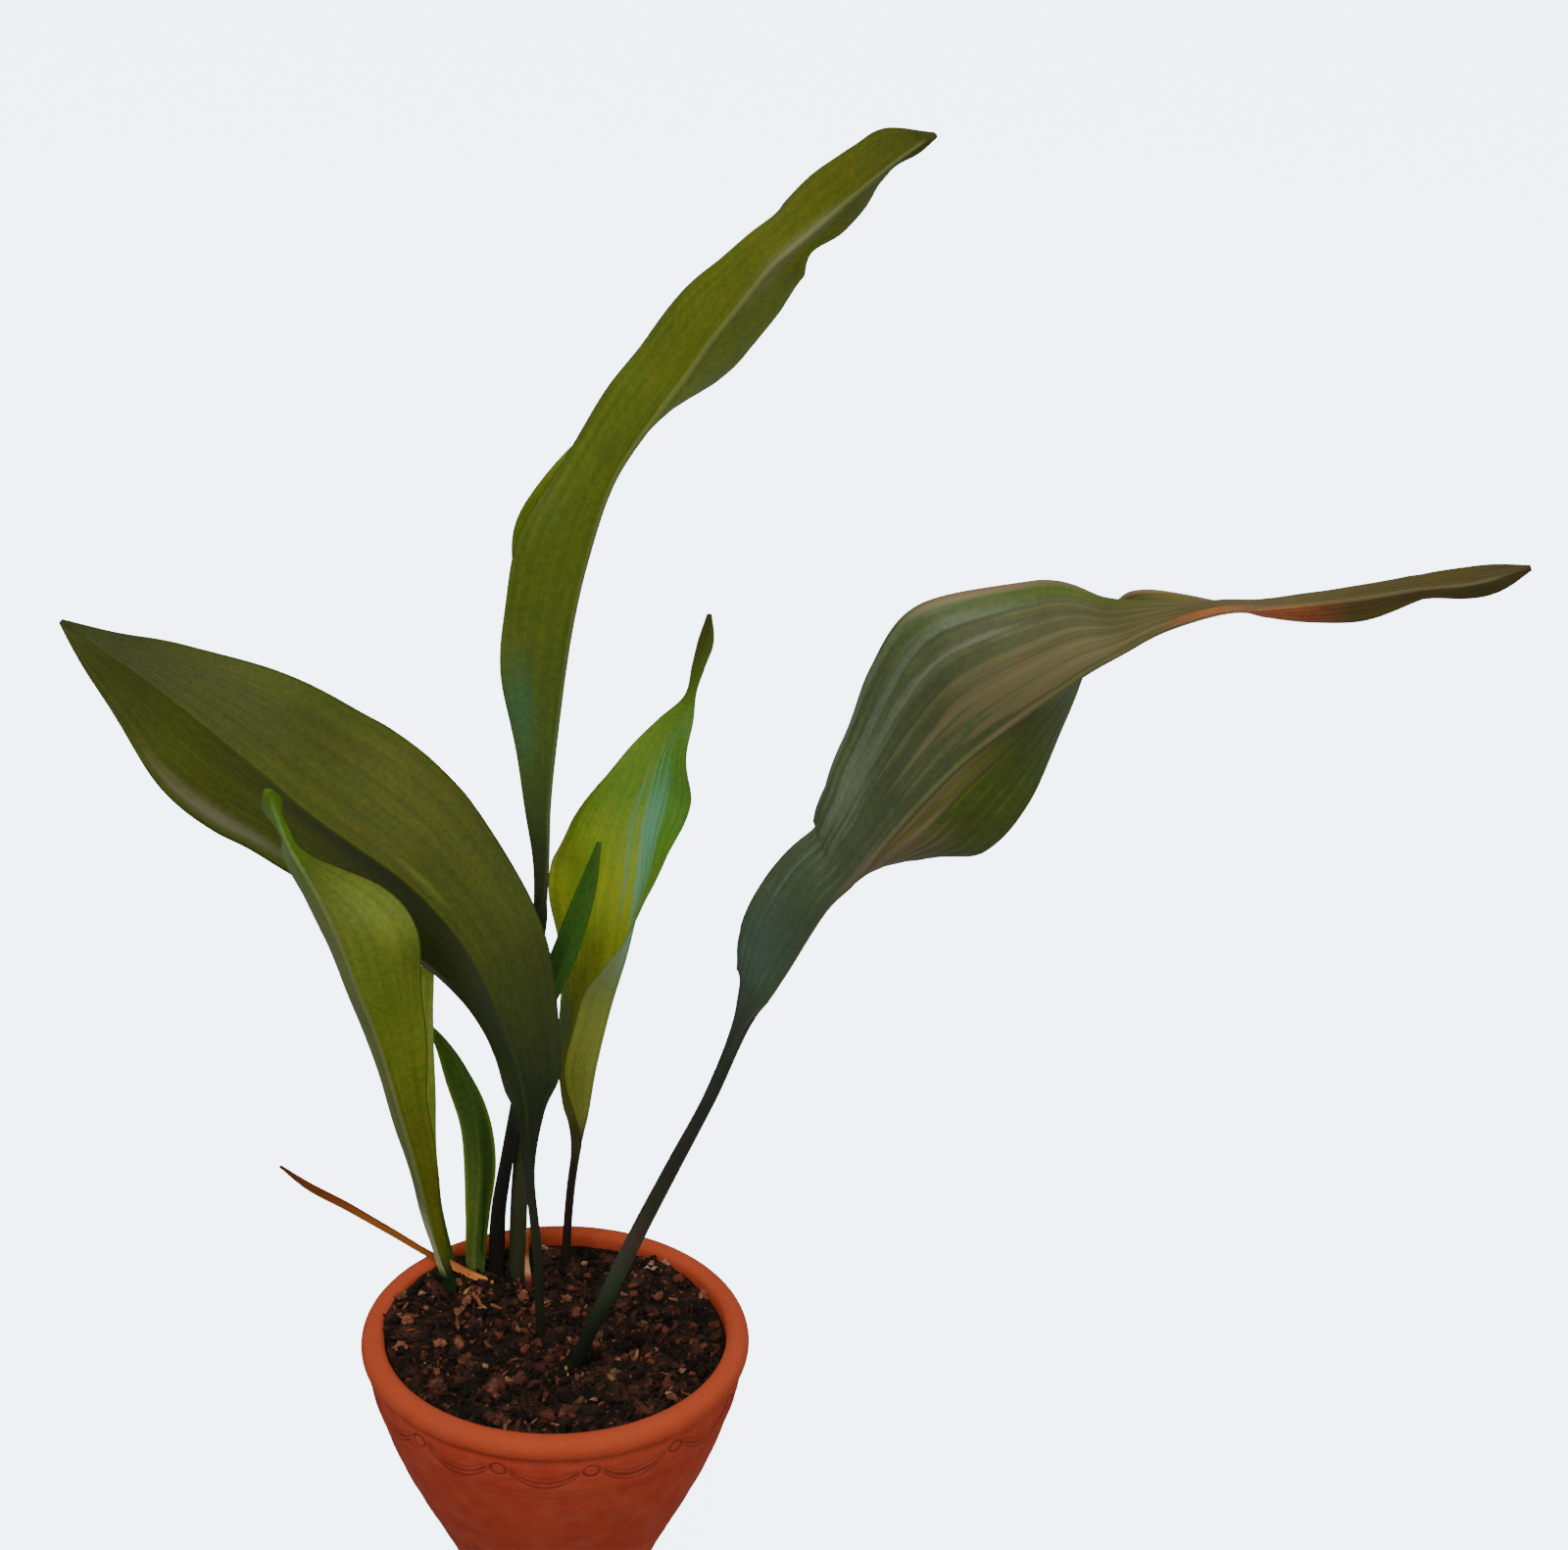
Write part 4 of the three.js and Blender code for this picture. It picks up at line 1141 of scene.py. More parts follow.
def lump_mesh(fine: int) -> tuple[list, list]:
    """A ball of even triangles.

    Args:
        fine: how often its faces are split.

    Returns:
        Its points and its faces.
    """
    gold = (1 + math.sqrt(5)) / 2
    points = [(s, t * gold, 0) for s in (-1, 1) for t in (-1, 1)]
    points += [(0, s, t * gold) for s in (-1, 1) for t in (-1, 1)]
    points += [(t * gold, 0, s) for s in (-1, 1) for t in (-1, 1)]
    points = [Vector(p).normalized() for p in points]
    near, corners = 1.2, len(points)
    pairs = {(i, j) for j in range(corners) for i in range(j) if (points[i] - points[j]).length < near}
    faces = []
    for i, j in sorted(pairs):
        for k in range(j + 1, corners):
            if (i, k) in pairs and (j, k) in pairs:
                out = (points[j] - points[i]).cross(points[k] - points[i]).dot(points[i]) > 0
                faces.append((i, j, k) if out else (i, k, j))
    for _ in range(fine + 1):
        middles, split = {}, []
        for face in faces:
            mids = []
            for a, b in ((0, 1), (1, 2), (2, 0)):
                key = tuple(sorted((face[a], face[b])))
                if key not in middles:
                    middles[key] = len(points)
                    points.append(((points[key[0]] + points[key[1]]) / 2).normalized())
                mids.append(middles[key])
            split += [(face[i], mids[i], mids[i - 1]) for i in range(3)] + [tuple(mids)]
        faces = split
    return [tuple(p) for p in points], faces


LUMPS = (lump_mesh(0), lump_mesh(1))


@dataclass(frozen=True)
class Ripple:
    """How a leaf's blades wave: height and length in millimetres, and a share of the width."""

    height: float
    length: float
    width: float


@dataclass(frozen=True)
class Station:
    """A place on a leaf's rib, with each half blade as seen from the front: its width, the angle by
    which it turns to the front and the angle by which it curls. A stalk has a radius."""

    at: Point
    left: Point
    right: Point
    radius: float = 0.0


def stalk(x: float, y: float, z: float, radius: float) -> Station:
    """A station on the stalk."""
    return Station((x, y, z), (radius, 0, 0), (radius, 0, 0), radius)


def blade(x: float, y: float, z: float, left: Point, right: Point | None = None) -> Station:
    """A station on the blade, with even halves where right isn't given."""
    return Station((x, y, z), left, right or left)


def tip(x: float, y: float, z: float) -> Station:
    """A blunt tip."""
    return blade(x, y, z, (0.9, 0, 0))


@dataclass
class Leaf:
    """A leaf with its stalk, grown as one piece: a skin over sections along its rib."""

    node: str
    slot: str
    skin: LeafSkin | WitheredSkin
    ripple: Ripple
    stations: tuple[Station, ...]
    # Thickness of a blade beside its rib and at its margin
    blade_thick: float = 0.42
    margin_thick: float = 0.24
    # Radius of the rib at the tip, and how soon it tapers to that
    rib_at_tip: float = 0.5
    rib_taper: float = 0.35
    stalk_flatness: float = 0.92
    tip_width: float = 0.9
    # Distance between sections on the blade and on the stalk, and steps across a half
    step: float = 1.9
    stalk_step: float = 3.5
    near_steps: int = 6
    far_steps: int = 19
    # Pleats across a half, and how high they are
    pleats: float = 6.0
    pleat_height: float = 0.04
    # A section is a stalk up to the first of these half widths, in radii, and flat from the second
    flat_from: float = 1.1
    flat_full: float = 2.2
    # Finer steps lie within this many radii of the rib, or this share of the half
    near_reach: float = 1.6
    near_share: float = 0.5
    # The fold at the rib: its reach in radii, its least reach, and how sharp it is
    fold_reach: float = 1.1
    fold_least: float = 0.5
    fold_power: float = 1.5
    # Half widths from which a blade waves and pleats in full
    wave_full: float = 12.0
    pleat_full: float = 15.0
    # Shares of a half at which the pleats start, are full, start to fade and end
    pleat_span: tuple[float, float, float, float] = (0.1, 0.3, 0.8, 1.0)
    # The front is seen from 27 degrees above
    front: Point = (0.0, -0.8910065, 0.4539905)

    def places(self, rib: np.ndarray) -> tuple[np.ndarray, np.ndarray]:
        """Where the sections stand.

        Args:
            rib: the stations' places.

        Returns:
            Each section's station number with its share of the way to the next, and the distance
            from the foot.
        """
        found, runs, walked = [], [], 0.0
        for i in range(len(rib) - 1):
            length = float(np.linalg.norm(rib[i + 1] - rib[i]))
            step = self.stalk_step if self.stations[i + 1].radius else self.step
            pieces = max(2, round(length / step))
            share = np.arange(pieces + (i == len(rib) - 2)) / pieces
            found.append(i + share)
            runs.append(walked + length * share)
            walked += length
        return np.concatenate(found), np.concatenate(runs)

    def core(self, places: np.ndarray) -> np.ndarray:
        """The radius of the stalk or rib.

        Args:
            places: each section's station number, with its share of the way to the next.

        Returns:
            The radius at each section.
        """
        spans = len(self.stations) - 1
        stalks = [s.radius for s in self.stations if s.radius]
        end = stalks[-1] if stalks else self.rib_at_tip
        last = max(len(stalks) - 1, 0)
        share = np.clip((places - last) / (spans - last), 0, 1) ** self.rib_taper
        core = end + (self.rib_at_tip - end) * share
        if stalks:
            on_stalk = np.interp(places, range(len(stalks)), stalks)
            core = np.where(places <= last, on_stalk, core)
        return core

    def build(self) -> None:
        """Makes the leaf in place of its plain part."""
        rib = np.array([s.at for s in self.stations], float)
        places, run = self.places(rib)
        centre, ahead = spline(rib, places)
        ahead = unit(ahead)
        across = unit(np.cross(ahead, np.array(self.front)))
        front = unit(np.cross(across, ahead))
        core = self.core(places)
        halves = [
            spline(np.array([getattr(s, side) for s in self.stations], float), places)[0]
            for side in ("left", "right")
        ]
        bends = [np.radians(half[:, 1]) for half in halves]
        rows = []
        for side in (0, 1):
            start = (bends[side] - bends[1 - side]) / 2
            outward = across * (1 if side else -1)
            rows.append(self.half(side, halves[side], start, outward, front, core, run))
        left, right = rows
        middle = unit(left["normal"][:, :1] + right["normal"][:, :1])
        thick = np.maximum(self.blade_thick, 2 * core * self.stalk_flatness)[:, None]
        flesh = {
            "offset": np.concatenate([left["offset"][:, ::-1], middle * 0, right["offset"]], 1),
            "normal": np.concatenate([left["normal"][:, ::-1], middle, right["normal"]], 1),
            "thick": np.concatenate([left["thick"][:, ::-1], thick, right["thick"]], 1),
            "share": np.concatenate([-left["share"][:, ::-1], thick * 0, right["share"]], 1),
        }
        self.skin_over(flesh, centre, run, rows)

    def half(
        self,
        side: int,
        half: np.ndarray,
        start: np.ndarray,
        outward: np.ndarray,
        front: np.ndarray,
        core: np.ndarray,
        run: np.ndarray,
    ) -> dict[str, np.ndarray]:
        """One half of every section.

        Args:
            side: 0 for the left half, 1 for the right.
            half: each section's width, turn and curl.
            start: the angle at which the half leaves the rib.
            outward: the way across the leaf.
            front: the way to the front.
            core: the rib's radius.
            run: the distance from the foot.

        Returns:
            Offsets from the rib, normals, thickness, share of the width, and the width.
        """
        wave = np.sin(2 * math.pi * run / self.ripple.length + 2 * side)
        bladed = smooth(half[:, 0] / core, self.flat_from, self.flat_full)
        wide = np.maximum(half[:, 0] * (1 + self.ripple.width * wave * bladed), self.tip_width / 2)
        zone = np.minimum(self.near_reach * core, self.near_share * wide)
        near = zone[:, None] * np.arange(1, self.near_steps + 1) / self.near_steps
        s = np.arange(1, self.far_steps + 1) / self.far_steps
        flat = zone[:, None] + (wide - zone)[:, None] * s
        # On a round stalk the points stand from 30 to 90 degrees round it
        round_ = wide[:, None] * np.sin(np.radians(30 + 60 * s))
        mix = bladed[:, None]
        far = np.concatenate([near, flat * mix + round_ * (1 - mix)], 1)
        turn, curl = (np.radians(half[:, k])[:, None] for k in (1, 2))
        fold = np.maximum(self.fold_reach * core, self.fold_least)[:, None]

        def bearing(distance: np.ndarray) -> np.ndarray:
            """The angle of the half at distances from the rib."""
            opened = 1 - np.exp(-((distance / fold) ** self.fold_power))
            return start[:, None] + (turn - start[:, None]) * opened + curl * distance / wide[:, None]

        steps = np.diff(np.concatenate([far[:, :1] * 0, far], 1), axis=1)
        angle = bearing(far - steps / 2)
        along, rise = (np.cumsum(steps * f(angle), 1)[..., None] for f in (np.cos, np.sin))
        facing = bearing(far)[..., None]
        normal = front[:, None] * np.cos(facing) - outward[:, None] * np.sin(facing)
        offset = outward[:, None] * along + front[:, None] * rise
        share = far / wide[:, None]
        lift = bladed * self.ripple.height * wave * np.minimum(1, wide / self.wave_full)
        fullness = np.minimum(1, wide / self.pleat_full)[:, None]
        pleat = np.cos(2 * math.pi * self.pleats * share) * fullness
        start_at, full_at, fade_at, end_at = self.pleat_span
        pleat = pleat * smooth(share, start_at, full_at) * (1 - smooth(share, fade_at, end_at)) * mix
        offset = offset + normal * (lift[:, None] * share**2 + self.pleat_height * pleat)[..., None]
        in_core = np.sqrt(np.maximum(0, 1 - (far / core[:, None]) ** 2))
        flesh = self.blade_thick + (self.margin_thick - self.blade_thick) * share
        thick = flesh + (2 * core[:, None] * self.stalk_flatness - flesh) * in_core
        return {"offset": offset, "normal": normal, "thick": thick, "share": share, "wide": wide}

    def skin_over(
        self, flesh: dict[str, np.ndarray], centre: np.ndarray, run: np.ndarray, rows: list[dict]
    ) -> None:
        """Closes a skin over the sections and dresses it.

        Args:
            flesh: the sections' offsets, normals, thickness and shares.
            centre: the rib's points.
            run: the distance from the foot.
            rows: the left and the right half, for their widths.
        """
        sections, wide = flesh["share"].shape
        raise_by = flesh["normal"] * flesh["thick"][..., None] / 2
        body = centre[:, None] + flesh["offset"]
        loops = np.concatenate([body + raise_by, (body - raise_by)[:, ::-1]], 1)
        points = loops.reshape(-1, 3)
        faces = ring_faces(sections, 2 * wide)
        first = list(range(2 * wide))
        last = [(sections - 1) * 2 * wide + i for i in first]
        for k in range(wide - 1):
            faces.append([first[k + 1], first[k], first[-1 - k], first[-2 - k]])
            faces.append([last[k], last[k + 1], last[-2 - k], last[-1 - k]])
        share = np.concatenate([flesh["share"], flesh["share"][:, ::-1]], 1)
        left, right = (np.repeat(rows[k]["wide"][:, None], wide // 2, 1) for k in (0, 1))
        half = np.concatenate([left, right[:, :1], right], 1)
        half = np.concatenate([half, half[:, ::-1]], 1) * MM
        length = float(run[-1])
        along = np.repeat((run / length)[:, None], 2 * wide, 1)
        place = np.stack([share, along, half], -1).reshape(-1, 3)
        piece = make_piece(
            self.node + "_skin", points, faces, [self.skin.material(length)], {"place": place}
        )
        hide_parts(self.node)


@dataclass
class Studio:
    """Paper floor, soft light and the camera."""

    paper: StudioPaper
    camera_at: Point = (0.0, -0.98538, 0.79486)
    camera_right: Point = (0.99735615, -0.06606211, 0.03027399)
    camera_ahead: Point = (0.07266854, 0.90668465, -0.41550238)
    lens: float = 71.7975
    sensor: float = 36.0
    floor_reach: float = 9.0
    room: str = "EEF3F6"
    room_light: float = 0.37

    def build(self) -> None:
        """Makes the floor, the lights and the camera."""
        mesh = bpy.data.meshes.new("paper_floor")
        reach = self.floor_reach
        corners = [(-reach, -reach, 0), (reach, -reach, 0), (reach, reach, 0), (-reach, reach, 0)]
        mesh.from_pydata(corners, [], [(0, 1, 2, 3)])
        mesh.materials.append(self.paper.material())
        floor = bpy.data.objects.new("paper_floor", mesh)
        # The paper's glow shows behind the plant but doesn't light it from below
        floor.visible_diffuse = False
        floor.visible_glossy = False
        bpy.context.scene.collection.objects.link(floor)
        self.light("soft_key", (-0.6, -1.2, 1.9), (0.0, 0.0, 0.25), size=1.1, power=28.0)
        self.light("soft_fill", (1.5, -0.9, 1.0), (0.0, 0.0, 0.25), size=1.4, power=8.0)
        self.light("soft_back", (0.4, 1.6, 1.6), (0.0, 0.0, 0.3), size=1.4, power=5.0)
        world = bpy.data.worlds.new("pale_room")
        bpy.context.scene.world = world
        world.use_nodes = True
        sky = world.node_tree.nodes["Background"]
        sky.inputs["Color"].default_value = linear(self.room)
        sky.inputs["Strength"].default_value = self.room_light
        self.camera()

    def light(self, name: str, at: Point, towards: Point, size: float, power: float) -> None:
        """Makes a soft square light.

        Args:
            name: its name.
            at: where it stands, in metres.
            towards: what it points at.
            size: its side in metres.
            power: its power in watts.
        """
        data = bpy.data.lights.new(name, "AREA")
        data.size = size
        data.energy = power
        light = bpy.data.objects.new(name, data)
        light.location = at
        light.rotation_euler = (Vector(towards) - Vector(at)).to_track_quat("-Z", "Y").to_euler()
        bpy.context.scene.collection.objects.link(light)

    def camera(self) -> None:
        """Makes the camera at the photograph's viewing angle."""
        data = bpy.data.cameras.new("camera")
        data.sensor_width = self.sensor
        data.lens = self.lens
        data.clip_end = 50.0
        camera = bpy.data.objects.new("camera", data)
        right, ahead = Vector(self.camera_right), Vector(self.camera_ahead)
        up = right.cross(ahead)
        rotation = Matrix((right, up, -ahead)).transposed()
        camera.matrix_world = Matrix.Translation(self.camera_at) @ rotation.to_4x4()
        bpy.context.scene.collection.objects.link(camera)
        bpy.context.scene.camera = camera


def leaves() -> Iterator[Leaf]:
    """The plant's leaves, each with its skin and its stations.

    Returns:
        The leaves, one by one.
    """
    # Height of a stalk's foot, just over the rootstock
    foot = 88.95
    yield Leaf(
        "tall_leaf",
        "olive_leaf",
        LeafSkin(
            "aspidistra_leaf_olive",
            stalk=((0.0, "363A1E"), (0.2, "45462E"), (0.33, "36361F")),
            left=(
                (0.39, "3C461E"), (0.45, "4A5C1C"), (0.55, "576414"), (0.7, "5A680A"),
                (0.9, "646A08"), (1.0, "4A4E06"),
            ),
            right=((0.39, "3A441C"), (0.55, "586810"), (0.7, "74840C"), (0.9, "6A720A"), (1.0, "4C5006")),
            rib="868C52",
            margin="34380E",
            rib_mm=1.3,
            rib_share=0.45,
            patches_with_painted_light=(
                # Painted sheen: a bluish gloss on the left half
                Patch(-0.75, 0.49, 0.5, 0.06, "3E7A50", 0.55),
                Patch(0.1, 0.86, 0.35, 0.07, "7E7E5A", 0.5),
                Patch(0.0, 0.89, 0.25, 0.05, "908C68", 0.5),
            ),
        ),
        ripple=Ripple(height=1, length=52, width=0.02),
        stations=(
            stalk(-15.6, 43, foot, 3.3),
            stalk(-15, 43, 118.5, 3.3),
            stalk(-14, 43, 148, 3.3),
            stalk(-11.5, 43, 188, 2.8),
            stalk(-9.5, 43, 223, 2.3),
            stalk(-6.5, 42, 256.5, 2.1),
            blade(-4, 41, 285.5, (5, 0, -10), (5, -140, -10)),
            blade(-3, 40, 313.5, (9, 0, -15), (10, -140, -20)),
            blade(0, 38, 345, (18, 0, -15), (17, -140, -25)),
            blade(4.5, 35, 381, (25, 5, -20), (23, -140, -30)),
            blade(10.5, 32, 411, (24.8, 5, -20), (32, -140, -30)),
            blade(19.5, 28, 441, (20.5, -5, -25), (23.5, -130, -30)),
            blade(33.4, 23, 465.3, (21, -10, -28), (24.6, -78, -18)),
            blade(42.8, 19.6, 479.9, (22.6, -14, -22), (24, -63, -16)),
            blade(51.6, 15.4, 494.8, (20.5, -16, -20), (20, -55, -14)),
            blade(61.5, 9.9, 509.8, (17.6, -18, -20), (18.6, -49, -12)),
            blade(70, 4.5, 522.9, (16.6, -19, -20), (13.5, -48, -12)),
            blade(77.7, 0, 531.4, (16.4, -18, -20), (6, -48, -12)),
            blade(85, -4.7, 539.6, (15.6, -15, -18), (9.8, -52, -12)),
            blade(92.1, -9.6, 547.8, (15, -12, -14), (10.5, -62, -11)),
            blade(99.7, -15, 556.3, (14.3, -10, -10), (6, -82, -10)),
            blade(106.9, -20, 564, (12, -8, -5), (3.2, -92, 0)),
            tip(117.5, -27, 574),
        ),
        pleats=5.0,
    )
    yield Leaf(
        "broad_leaf",
        "dark_olive_leaf",
        LeafSkin(
            "aspidistra_leaf_dark_olive",
            stalk=((0.0, "222416"), (0.2, "2E3220"), (0.31, "262E14")),
            left=((0.4, "323A14"), (0.55, "444E12"), (0.75, "525A12"), (1.0, "40460E")),
            right=(
                (0.36, "2E3616"), (0.42, "384214"), (0.5, "464F10"), (0.62, "50560C"),
                (0.8, "4A520A"), (1.0, "393F0E"),
            ),
            rib="7A8040",
            margin="3A4216",
            rib_share=0.06,
            shine=0.22,
            patches_with_painted_light=(
                # Painted shade: the dark band below the rib where the lower half turns away from the
                # light
                Patch(-0.15, 0.68, 0.18, 0.2, "2E3614", 0.45),
                # Painted highlights: pale streaks along the lower margin
                Patch(-0.85, 0.77, 0.14, 0.12, "9A9078", 0.5),
                Patch(-1.0, 0.49, 0.14, 0.05, "9A947E", 0.7),
                Patch(0.12, 0.58, 0.06, 0.05, "70802A", 0.5),
            ),
        ),
        ripple=Ripple(height=0.8, length=60, width=0.01),
        stations=(
            stalk(-4.8, -0.6, foot, 1.7),
            stalk(-6, 0, 119.5, 1.7),
            stalk(-7, 0.5, 148.5, 1.8),
            stalk(-9.8, 2, 181, 2),
            blade(-10.8, 3, 206, (4.2, -10, 0), (6.6, -10, 0)),
            blade(-12, 3.5, 216, (9, -55, 20), (13, 0, -10)),
            blade(-14.5, 4, 228, (15, -85, 40), (17.5, 0, -10)),
            blade(-22.5, 5, 252.5, (22, -75, 40), (24, 0, -15)),
            blade(-32, 7, 272, (28, -71, 40), (29, 0, -15)),
            blade(-43, 9.5, 286.5, (30, -70, 40), (33.6, 0, -15)),
            blade(-55.5, 12.5, 298, (34, -72, 40), (38, 0, -15)),
            blade(-69.5, 16, 307.5, (35, -73, 40), (40.8, 0, -15)),
            blade(-86.5, 20, 319.5, (36, -70, 40), (41.6, 0, -15)),
            blade(-101.5, 24, 332, (38, -61, 40), (37, 0, -15)),
            blade(-121.5, 30, 347.5, (31, -46, 40), (29, 0, -15)),
            blade(-141.5, 36, 362, (20, -35, 30), (18, 0, -10)),
            blade(-157, 41, 372, (11.6, -25, 20), (8, 0, 0)),
            tip(-173, 46, 381.5),
        ),
        pleats=7.0,
    )
    yield Leaf(
        "rolled_leaf",
        "light_leaf",
        LeafSkin(
            "aspidistra_leaf_light",
            left=(
                (0.0, "182412"), (0.115, "243A1A"), (0.14, "B4BC88"), (0.21, "A4AC7A"),
                (0.27, "646E26"), (0.5, "66702A"), (0.8, "6C7634"), (0.9, "60802A"),
                (1.0, "5A7A1A"),
            ),
            right=(
                (0.0, "182412"), (0.12, "243A1A"), (0.165, "6A7020"), (0.25, "6C7018"),
                (0.4, "68701A"), (0.6, "6E7C1C"), (0.85, "6E7A2A"), (0.92, "669A1A"),
                (1.0, "5A7A1A"),
            ),
            rib="8E966A",
            margin="343A12",
            rib_share=0.35,
            margin_share=0.7,
            vein_share=0.06,
            shine=0.22,
        ),
        ripple=Ripple(height=0.6, length=48, width=0.01),
        stations=(
            stalk(-38.4, 28, foot, 2.3),
            stalk(-40.5, 27.5, 115.5, 2.3),
            blade(-43.5, 24.5, 130.5, (4.4, -35, -40), (2.8, 0, 0)),
            blade(-48, 19, 154, (10, -40, -75), (5, 0, 0)),
            blade(-52.5, 12, 182.5, (13, -40, -75), (8.5, 0, 0)),
            blade(-58, 4, 212.5, (16, -42, -75), (11.6, 5, -10)),
            blade(-63.5, -3, 241, (20, -46, -70), (18, 5, -15)),
            blade(-69.5, -10, 264.5, (23, -48, -70), (23.5, 5, -20)),
            blade(-74.5, -15, 284.5, (24, -50, -65), (27, 5, -28)),
            blade(-80, -19, 302, (24, -50, -65), (20.5, -42, -35)),
            blade(-85.5, -22, 316, (19, -58, -40), (13.5, -72, -20)),
            blade(-90, -24, 326.5, (12, -84, -10), (12, -84, 0)),
            blade(-93.5, -26, 338.5, (8, -64, 0), (8, -76, 0)),
            tip(-96.5, -28, 351),
        ),
        pleats=5.0,
        pleat_height=0.02,
    )
    yield Leaf(
        "spear_leaf",
        "young_leaf",
        LeafSkin(
            "aspidistra_leaf_young",
            left=((0.0, "1A1A12"), (0.35, "728634"), (0.5, "B4CC42"), (0.8, "CCE04C"), (1.0, "B0C438")),
            right=((0.0, "1A1A12"), (0.35, "6A7E32"), (0.5, "A6BE40"), (0.8, "BED248"), (1.0, "A8BC38")),
            rib="6A7A2A",
            margin="4A2A16",
            margin_mm=1.0,
            margin_share=0.8,
        ),
        ripple=Ripple(height=0, length=30, width=0),
        stations=(
            stalk(-33.6, 35, foot, 1.6),
            stalk(-41, 46.2, 115.5, 1.6),
            stalk(-45.4, 44.2, 141, 1.7),
            blade(-47.6, 41, 163, (3.4, -45, -20)),
            blade(-48, 41, 191, (4.6, -45, -30)),
            blade(-48.5, 40.5, 217, (4.8, -45, -30)),
            blade(-48, 40, 237.5, (3.8, -40, -20)),
            tip(-46.5, 40, 256.5),
        ),
    )
    yield Leaf(
        "short_leaf",
        "margined_leaf",
        LeafSkin(
            "aspidistra_leaf_margined",
            left=(
                (0.0, "2A3018"), (0.15, "5A6826"), (0.35, "6E862E"), (0.5, "627E26"),
                (0.7, "4E7420"), (1.0, "627E22"),
            ),
            right=(
                (0.0, "1A2012"), (0.15, "34501E"), (0.35, "4C6A22"), (0.5, "42641C"),
                (0.7, "466A1E"), (1.0, "627E22"),
            ),
            rib="4A701E",
            margin="9AAE28",
            margin_mm=2.6,
            margin_share=0.85,
        ),
        ripple=Ripple(height=0.3, length=45, width=0.02),
        stations=(
            stalk(-29, 37.6, foot + 0.6, 3),
            stalk(-31.1, 43, 115.5, 3.7),
            blade(-29.8, 46, 135.5, (5.6, -15, -20), (4.4, -15, -20)),
            blade(-28.5, 49, 156, (8, -15, -30), (6.4, -15, -30)),
            blade(-30.5, 48, 180, (8.4, -15, -30), (4.8, -15, -30)),
            blade(-36.5, 49, 198, (6.8, -15, -20), (3, -15, -20)),
            blade(-42.5, 50, 209.5, (3.6, -10, -10), (1.6, -10, -10)),
            tip(-48, 51, 216.5),
        ),
    )
    yield Leaf(
        "bright_leaf",
        "bright_leaf",
        LeafSkin(
            "aspidistra_leaf_bright",
            stalk=((0.0, "1E1614"), (0.22, "362C22"), (0.265, "58541E")),
            left=(
                (0.3, "929434"), (0.4, "A0A638"), (0.6, "B2BC32"), (0.75, "769A28"),
                (0.88, "5E7E16"), (0.94, "505408"), (1.0, "484A06"),
            ),
            right=(
                (0.3, "8C9230"), (0.45, "909A22"), (0.6, "6E9022"), (0.75, "5A8C26"),
                (0.88, "5A7C1A"), (1.0, "484A06"),
            ),
            rib="6E8E3A",
            margin="40500E",
            rib_share=0.2,
            speck_share=0.04,
            roughness=0.36,
            shine=0.45,
            patches_with_painted_light=(
                Patch(-0.6, 0.6, 0.3, 0.1, "6AA02A", 0.45),
                # Painted highlights: the mint-green gloss over the middle of the blade
                Patch(0.1, 0.7, 0.42, 0.15, "76BC96", 0.85, 3.0),
                Patch(0.28, 0.57, 0.28, 0.1, "7CBC94", 0.6, 3.0),
                # Painted sheen: a bluish-green gloss low on the left half
                Patch(-0.85, 0.42, 0.2, 0.05, "74A886", 0.55, 1.8),
            ),
        ),
        ripple=Ripple(height=0.6, length=52, width=0.01),
        stations=(
            stalk(3, 47, foot, 1.7),
            stalk(4, 52, 117.5, 1.7),
            stalk(5.5, 53, 141, 1.7),
            stalk(7.5, 53, 159, 1.9),
            blade(9.5, 53, 168, (5.4, 0, 0), (2.2, 120, 0)),
            blade(11.5, 53, 177, (10.4, 0, -10), (6, 150, 10)),
            blade(14.5, 53, 197, (14.8, 0, -10), (14, 145, 10)),
            blade(20, 53, 223, (20, 0, -12), (17.5, 130, 10)),
            blade(25.5, 53.5, 243.5, (27, 0, -15), (22, 108, 10)),
            blade(29.5, 54, 262.5, (34, 0, -18), (26, 92, 10)),
            blade(32, 55, 277.5, (35, 0, -20), (22, 82, 8)),
            blade(33, 56, 293.5, (28.5, 0, -20), (21.5, 64, 8)),
            blade(35, 57, 308.5, (20.2, 0, -18), (23, 52, 8)),
            blade(37.5, 58, 321.5, (13, 0, -15), (22, 50, 8)),
            blade(42.5, 59, 334, (7.5, 0, -10), (12, 50, 5)),
            blade(48.5, 60, 346.5, (2.4, 0, 0), (2.4, 20, 0)),
            blade(51.5, 60, 359, (2.6, 0, 0), (2.4, 20, 0)),
            blade(54, 60, 369, (3, 0, 0), (3, 20, 0)),
            tip(55, 60, 379.5),
        ),
        pleats=5.0,
    )
